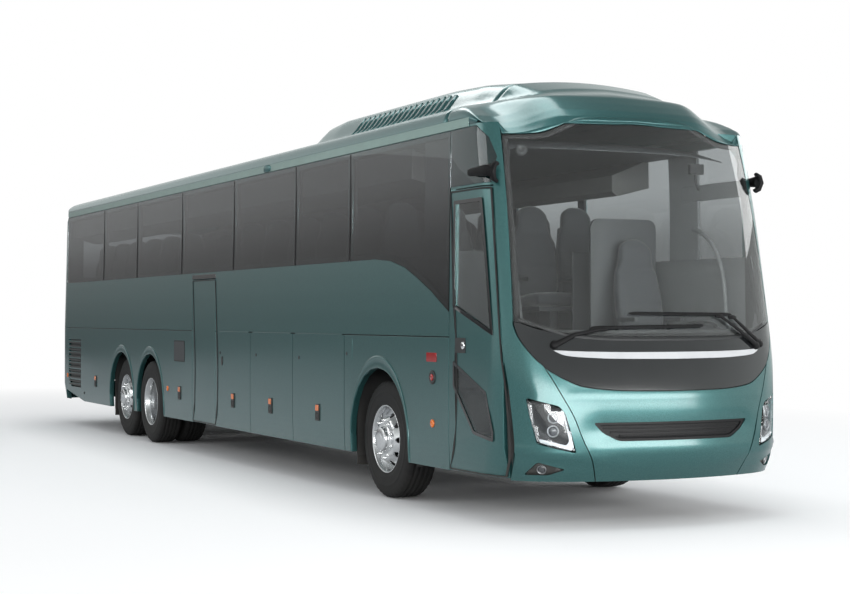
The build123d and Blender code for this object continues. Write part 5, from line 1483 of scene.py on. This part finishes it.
# %%
# Woven plush: two yarns crossing, with a finer weave in the bump and a soft sheen
def woven(name, ground, yarn, sheen):
    made, tree = new_material(name)
    shine = add(tree, "ShaderNodeBsdfPrincipled", Metallic=0.0)
    shine.inputs["Sheen Weight"].default_value = sheen
    shine.inputs["Sheen Roughness"].default_value = 0.4
    place = add(tree, "ShaderNodeTexCoord")
    warp = add(tree, "ShaderNodeTexWave", bands_direction="X", Scale=90.0, Distortion=0.6)
    weft = add(tree, "ShaderNodeTexWave", bands_direction="Z", Scale=90.0, Distortion=0.6)
    cross = add(tree, "ShaderNodeMath", operation="MULTIPLY")
    fleck = add(tree, "ShaderNodeTexNoise", Scale=9.0, Detail=6.0)
    depth = add(tree, "ShaderNodeMath", operation="MULTIPLY")
    tones = add(tree, "ShaderNodeMix", data_type="RGBA")
    tones.inputs[6].default_value = (*ground, 1)
    tones.inputs[7].default_value = (*yarn, 1)
    fine = place_group(tree, grain_group, Scale=600.0, Middle=0.82, Swing=0.2)
    relief = add(tree, "ShaderNodeBump", Strength=0.7, Distance=0.0012)
    out = add(tree, "ShaderNodeOutputMaterial")
    for wave in (warp, weft, fleck):
        join(tree, place.outputs["Object"], wave.inputs["Vector"])
    join(tree, warp.outputs["Fac"], cross.inputs[0])
    join(tree, weft.outputs["Fac"], cross.inputs[1])
    join(tree, cross.outputs[0], depth.inputs[0])
    join(tree, fleck.outputs[0], depth.inputs[1])
    join(tree, depth.outputs[0], tones.inputs[0])
    join(tree, tones.outputs[2], shine.inputs["Base Color"])
    join(tree, fine.outputs["Value"], shine.inputs["Roughness"])
    join(tree, cross.outputs[0], relief.inputs["Height"])
    join(tree, relief.outputs[0], shine.inputs["Normal"])
    join(tree, shine.outputs[0], out.inputs[0])
    return made


plush = woven("plush_grey", (0.035, 0.037, 0.041), (0.115, 0.120, 0.130), 0.35)


# %%
# Loft a pad: rings of centre (y, z), half width, half depth and lean, with a crown and a shape
def loft(rings, shape=None, points=24, power=0.55):
    bm = bmesh.new()
    rows = []
    for number, (y, z, wide, deep, lean) in enumerate(rings):
        row = []
        for j in range(points):
            turn = 2 * math.pi * (j + 0.5) / points
            c, s = math.cos(turn), math.sin(turn)
            x = math.copysign(abs(c) ** power, c) * wide
            d = math.copysign(abs(s) ** power, s) * deep
            d += shape(x, d, number / (len(rings) - 1)) if shape else 0.0
            row.append(bm.verts.new((x, y + d * math.cos(lean), z + d * math.sin(lean))))
        rows.append(row)
    for a, b in zip(rows, rows[1:]):
        for j in range(points):
            bm.faces.new((a[j], a[(j + 1) % points], b[(j + 1) % points], b[j]))
    bm.faces.new(rows[0][::-1])
    bm.faces.new(rows[-1])
    return bm


def back_shape(x, d, t):
    """Front side (towards -Y) gets bolsters, a lumbar swell and sewn channels."""
    if d > 0:
        return 0.0
    bolster = -0.030 * max(0.0, min(1.0, (abs(x) - 0.115) / 0.07)) * max(0.0, 1 - abs(t - 0.38) / 0.42)
    swell = -0.016 * math.exp(-((t - 0.22) / 0.13) ** 2)
    channel = 0.011 * sum(math.exp(-((t - c) / 0.014) ** 2) for c in (0.34, 0.52, 0.70))
    wing = -0.022 * max(0.0, min(1.0, (abs(x) - 0.08) / 0.06)) * max(0.0, 1 - abs(t - 0.84) / 0.13)
    return bolster + swell + channel + wing


BACK = []
for i in range(25):
    t = i / 24
    z = 0.44 + 0.86 * t
    end = max(0.0, (t - 0.90) / 0.10)
    start = max(0.0, (0.05 - t) / 0.05)
    wide = ramp([(0, 0.200), (0.1, 0.222), (0.45, 0.226), (0.66, 0.205), (0.74, 0.165), (0.82, 0.158),
                 (0.92, 0.150), (1, 0.120)], t)
    deep = ramp([(0, 0.050), (0.15, 0.060), (0.5, 0.052), (0.7, 0.042), (0.8, 0.050), (0.92, 0.046), (1, 0.030)], t)
    BACK.append((0.445 + 0.115 * t + 0.012 * math.sin(math.pi * t), z, wide * math.sqrt(max(0.05,
            1 - end ** 2 * 0.75)),
                 deep * math.sqrt(max(0.08, 1 - end ** 2 * 0.8)) * (1 - 0.4 * start), 0.16))
BASE = []
for i in range(17):
    t = i / 16
    y = 0.010 + 0.44 * t
    round_end = math.sqrt(max(0.06, 1 - max(0.0, (0.18 - t) / 0.18) ** 2)) * math.sqrt(max(0.2,
            1 - max(0.0, (t - 0.93) / 0.07) ** 2))
    BASE.append((y, 0.405 + 0.012 * math.sin(math.pi * t) - 0.035 * t, 0.218, 0.062 * round_end, math.pi / 2))


def base_shape(x, d, t):
    if d < 0:
        return 0.0
    crown_up = 0.014 * (1 - (x / 0.23) ** 2) + 0.016 * max(0.0, min(1.0, (abs(x) - 0.13) / 0.06))
    return crown_up - 0.010 * math.exp(-((t - 0.45) / 0.03) ** 2) - 0.010 * math.exp(-((t - 0.72) / 0.03) ** 2)


# Hard parts of one place: rear shell, pan, pedestal, arm rests
def frame_mesh():
    bm = loft([(0.445 + 0.115 * t + 0.062, 0.36 + 0.74 * t, ramp([(0, 0.20), (0.5, 0.215), (1, 0.15)], t),
                ramp([(0, 0.012), (0.5, 0.016), (1, 0.008)], t), 0.16) for t in [i / 6 for i in range(7)]],
              points=16)
    for place, size in [((0, 0.235, 0.325), (0.40, 0.40, 0.045)), ((0, 0.26, 0.16), (0.06, 0.26, 0.30)),
                        ((0, 0.26, 0.012), (0.20, 0.34, 0.024)), ((0.232, 0.30, 0.60), (0.036, 0.30, 0.036)),
                        ((-0.232, 0.30, 0.60), (0.036, 0.30, 0.036)), ((0.232, 0.43, 0.48), (0.030, 0.045, 0.24)),
                        ((-0.232, 0.43, 0.48), (0.030, 0.045, 0.24))]:
        cube = bmesh.ops.create_cube(bm, size=1.0)["verts"]
        bmesh.ops.transform(bm, verts=cube, matrix=Matrix.Translation(place) @ Matrix.Diagonal((*size, 1)))
    return bm


# %%
# Rows of places: the right side leaves room for the middle door's stairs
FLOOR_Z = 1.35
rows = {"right": [], "left": []}
for number in range(14):
    y = -4.90 + 0.79 * number
    for side, hand in ((-1, "right"), (1, "left")):
        if side < 0 and -0.90 < y < 0.90:
            continue
        for x in (0.432, 0.912):
            rows[hand].append(Matrix.Translation((side * x, y, FLOOR_Z)))
shapes = [("backs", loft(BACK, back_shape), plush, 1), ("cushions", loft(BASE, base_shape), plush, 1),
          ("frames", frame_mesh(), dark_trim, 0)]
for part, shape, cloth, level in shapes:
    for hand, spots in rows.items():
        piece = copies(shape, f"seat_{part}_{hand}", spots, cloth, "coach")
        if level:
            tight = piece.modifiers.new("cover", "SUBSURF")
            tight.levels = tight.render_levels = level
        else:
            rolled_edge(piece, 0.006, 2)
        if part == "backs" and hand == "right":
            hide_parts("seats")
driver_spot = [Matrix.Translation((0.67, -6.32, 1.0 - 0.02))]
for part, shape, cloth, level in shapes:
    piece = copies(shape, f"driver_{part}", driver_spot, cloth if level else dark_trim, "coach")
    if level:
        tight = piece.modifiers.new("cover", "SUBSURF")
        tight.levels = tight.render_levels = level
    else:
        rolled_edge(piece, 0.006, 2)
print("places:", {hand: len(spots) for hand, spots in rows.items()})

# %% [markdown]
# ## Inside, as far as the glass shows it
# Through the windscreen one sees the lining below the windows, the posts between them, the ceiling,
# the screen behind the driver, the rail across the driver's window and a bent grab rail. Linings are
# moulded sheets, so they are pressed over the same form, a wall's thickness further in.

# %%
# Linings, posts and ceiling
INNER = 0.058
SPANS = {"left": [(-6.92, 7.10)], "right": [(-6.00, -0.12), (0.86, 7.10)]}
for side, hand in ((-1, "right"), (1, "left")):
    for number, (y0, y1) in enumerate(SPANS[hand]):
        low = 1.02 if side > 0 else 1.37
        lining = plate(f"lining_{hand}_{number}", box_line(y0, y1, low, 2.105), side, grey_trim, "coach", -INNER,
                       0.006, 0.2, 0)
    for number, y in enumerate(SEAMS_Y + [-6.00]):
        wide = 0.060 if y > -5.9 else 0.22
        middle = y if y > -5.9 else -5.735
        post = plate(f"post_{hand}_{number}", box_line(middle - wide, middle + wide, 2.08, 3.06, 0.02), side,
                     dark_trim if y > -5.9 else grey_trim, "coach", -0.030, 0.030, 0.3, 0.006)
rail = plate("driver_window_rail", box_line(-6.64, -5.72, 2.615, 2.755, 0.03), 1, grey_trim, "coach", -0.034,
             0.030, 0.1, 0.01)
bm = bmesh.new()
bmesh.ops.create_grid(bm, x_segments=24, y_segments=40, size=1.0)
for vert in bm.verts:
    x = vert.co.x * 1.17
    y = 0.35 + vert.co.y * 6.72
    dip = 0.10 * max(0.0, (-5.9 - y) / 0.47) ** 2
    vert.co = (x, y, 3.075 - 0.05 * (x / 1.17) ** 4 - dip)
ceiling = make_object("ceiling", bm, dark_trim)
thick = ceiling.modifiers.new("thickness", "SOLIDIFY")
thick.thickness = 0.008
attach(ceiling, "coach")


# %%
# Screen behind the driver, grab rail, rear-view camera screen on its stalk
def panel_across(name, y, x0, x1, z0, z1, radius, material, thick=0.03):
    bm = flat_outline(name, [rounded([(x0, z0), (x1, z0), (x1, z1), (x0, z1)], radius, 8)], thick)
    for vert in bm.verts:
        x, z, depth = vert.co
        vert.co = (x, y + depth, z)
    made = make_object(name, bm, material)
    rolled_edge(made, 0.006, 3)
    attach(made, "coach")
    return made


screen_back = panel_across("driver_screen", -5.66, 0.29, 0.96, 1.02, 2.46, 0.10, dark_trim)


def tube(name, points, radius, material, steps=6):
    """Round bar along a smooth line through the points."""
    columns = [through([(p[a], 0) for p in points], steps) for a in range(3)]
    path = [Vector((x[0], y[0], z[0])) for x, y, z in zip(*columns)]
    up = [Vector((0.9, 0.1, 0.3))] * len(path)
    return swept(name, path, up, [(0, radius * 2), (1, radius * 2)], [(0, radius * 2), (1, radius * 2)], material,
                 points=14, power=1.0)


grab = tube("grab_rail", [(1.205, -5.90, 2.37), (1.165, -6.02, 2.355), (1.150, -6.16, 2.30), (1.145, -6.30, 2.19),
                          (1.145, -6.40, 2.02),
                          (1.145, -6.45, 1.80), (1.150, -6.47, 1.56), (1.200, -6.48, 1.46)], 0.019, grey_trim)
stalk = tube("screen_stalk", [(1.12, -6.10, 2.70), (1.08, -6.12, 2.76), (1.06, -6.14, 2.85)], 0.010, black_plastic)
monitor = panel_across("view_monitor", -6.15, 0.99, 1.13, 2.83, 2.92, 0.012, black_plastic, 0.035)
pole = tube("door_pole", [(-0.34, -5.30, 1.38), (-0.34, -5.31, 2.0), (-0.34, -5.32, 2.70), (-0.36, -5.36, 3.06)],
            0.018, grey_trim)

# %%
# Dashboard: an instrument binnacle on the measured block, and a sensor behind the windscreen
hood = loft([(-6.66 + 0.02 * i, 1.40, 0.24 - 0.012 * i, 0.075, math.pi / 2) for i in range(-4, 5)],
            lambda x, d, t: 0.05 * math.sin(math.pi * t) if d > 0 else 0.0, 24)
bmesh.ops.translate(hood, vec=(0.67, -0.02, 0.02), verts=hood.verts[:])
binnacle = make_object("dash_binnacle", hood, dark_trim)
rolled_edge(binnacle, 0.004)
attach(binnacle, "coach")
sensor = turned("screen_sensor", [(0.050, 0.0), (0.050, 0.020), (0.040, 0.034), (0.022, 0.036), (0.016, 0.026),
                                  (0.0, 0.026)],
                standing_on(round_x(-0.99, 2.90), 2.90, 0.055), black_plastic)
print("inside pieces set; ceiling faces:", len(ceiling.data.polygons))

# %% [markdown]
# ## The back
# Tail lamps stand in a column each side of the engine lid: a red plate whose lens is cut into steps,
# with an amber and a white chamber. The lid breathes through slots over a slanted louvre each, and
# the plate recess is left blank. The rear wall bows very slightly and leans forward towards the top,
# so a flat piece is laid on it by asking the measured wall how far back it stands.

# %%
# Lay a flat blank on the rear: each vertex moves to where the measured surface is
from mathutils.bvhtree import BVHTree
REAR = {}
for node in ("rear_wall", "engine_lid", "rear_bumper", "tail_lamps", "rear_window"):
    bm = bmesh.new()
    bm.from_mesh(NODES[node].data)
    REAR[node] = BVHTree.FromBMesh(bm)
    bm.free()


def rear_y(x, z):
    hits = [tree.ray_cast(Vector((x, 9.0, z)), Vector((0, -1, 0)))[0] for tree in REAR.values()]
    return max([hit.y for hit in hits if hit] + [7.25])


def on_rear(name, lines, stand, thick, material, body="coach", cell=0.08, edge=0.003):
    """Closed outlines in x and z; the piece stands out of the surface by the first distance."""
    bm = blank(lines, stand, stand - thick, cell)
    us, vs = [p[0] for p in lines[0]], [p[1] for p in lines[0]]
    middle = ((max(us) + min(us)) / 2, (max(vs) + min(vs)) / 2)
    corners = {(i, j): rear_y(middle[0] + (i - 0.5) * (max(us) - min(us)) * 0.98,
                              middle[1] + (j - 0.5) * (max(vs) - min(vs)) * 0.98)
               for i in (0, 1) for j in (0, 1)}
    for vert in bm.verts:
        x, z, depth = vert.co
        p, q = (x - min(us)) / (max(us) - min(us)), (z - min(vs)) / (max(vs) - min(vs))
        y = sum(corners[i, j] * (p if i else 1 - p) * (q if j else 1 - q) for i in (0, 1) for j in (0, 1))
        vert.co = (x, min(y + depth, 7.4745 - max(0.0, -depth) * 0.3), z)
    made = make_object(name, bm, material)
    if edge:
        rolled_edge(made, edge)
    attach(made, body)
    return made


# %%
# Lamps, louvres, handle, plate recess and the high brake light
CHAMBERS = [("stop", 0.915, 1.165, lamp_red), ("turn", 1.175, 1.355, lamp_amber),
            ("reverse", 1.365, 1.475, lamp_white),
            ("tail", 1.485, 1.685, lamp_red)]
for side, hand in ((-1, "right"), (1, "left")):
    base = on_rear(f"tail_bed_{hand}", [rounded([(side * x, z) for x, z in [(0.962, 0.904), (1.118, 0.904),
            (1.118, 1.696), (0.962, 1.696)]], 0.02)],
                   0.002, 0.004, black_gloss)
    for name, z0, z1, lens in CHAMBERS:
        pad = on_rear(f"tail_{name}_{hand}", [rounded([(side * x, z) for x,
                z in [(0.972, z0), (1.108, z0), (1.108, z1), (0.972, z1)]], 0.015)],
                      0.010, 0.008, lens, edge=0.004)
        for step in range(int((z1 - z0 - 0.03) / 0.022)):
            z = z0 + 0.02 + 0.022 * step
            rib = on_rear(f"tail_{name}_rib_{hand}_{step}", [[(side * 0.980, z), (side * 1.100, z),
                    (side * 1.100, z + 0.008), (side * 0.980, z + 0.008)]],
                          0.0135, 0.004, lens, cell=0.2, edge=0.0015)
for number in range(5):
    z = 0.82 + 0.085 * number
    louvre = on_rear(f"lid_louvre_{number}", [[(-0.612, z + 0.003), (0.612, z + 0.003), (0.612, z + 0.032),
            (-0.612, z + 0.032)]],
                     -0.012, 0.010, slot_black, "engine_lid", 0.3, 0.002)
recess = [(-0.26, 1.32), (0.26, 1.32), (0.26, 1.47), (-0.26, 1.47)]
inset = rounded(recess, 0.012)
plate_frame = on_rear("plate_recess_frame", [rounded(grown(recess, 0.02), 0.02), inset],
                      0.0035, 0.008, black_plastic, "engine_lid", edge=0.001)
plate_blank = on_rear("plate_recess_blank", [grown(inset, -0.001)], 0.0015, 0.004, dark_trim, "engine_lid",
                      edge=0.001)
handle = on_rear("lid_handle", [rounded([(-0.09, 0.672), (0.09, 0.672), (0.09, 0.712), (-0.09, 0.712)], 0.012)],
                 0.0035, 0.012, black_plastic,
                 "engine_lid", edge=0.002)
stop = on_rear("high_brake_lamp", [rounded([(-0.30, 3.000), (0.30, 3.000), (0.30, 3.030), (-0.30, 3.030)], 0.008)],
               0.008, 0.010, lamp_red, edge=0.002)
border = on_rear("rear_window_border", [rounded([(-1.004, 2.166), (1.004, 2.166), (1.004, 2.954), (-1.004, 2.954)],
        0.05),
                                        rounded([(-0.950, 2.215), (0.950, 2.215), (0.950, 2.905), (-0.950, 2.905)],
                                                0.06)],
                 0.002, 0.004, black_gloss, edge=0)
print("rear pieces set; rear wall at 1.2 m:", round(rear_y(0, 1.2), 3))
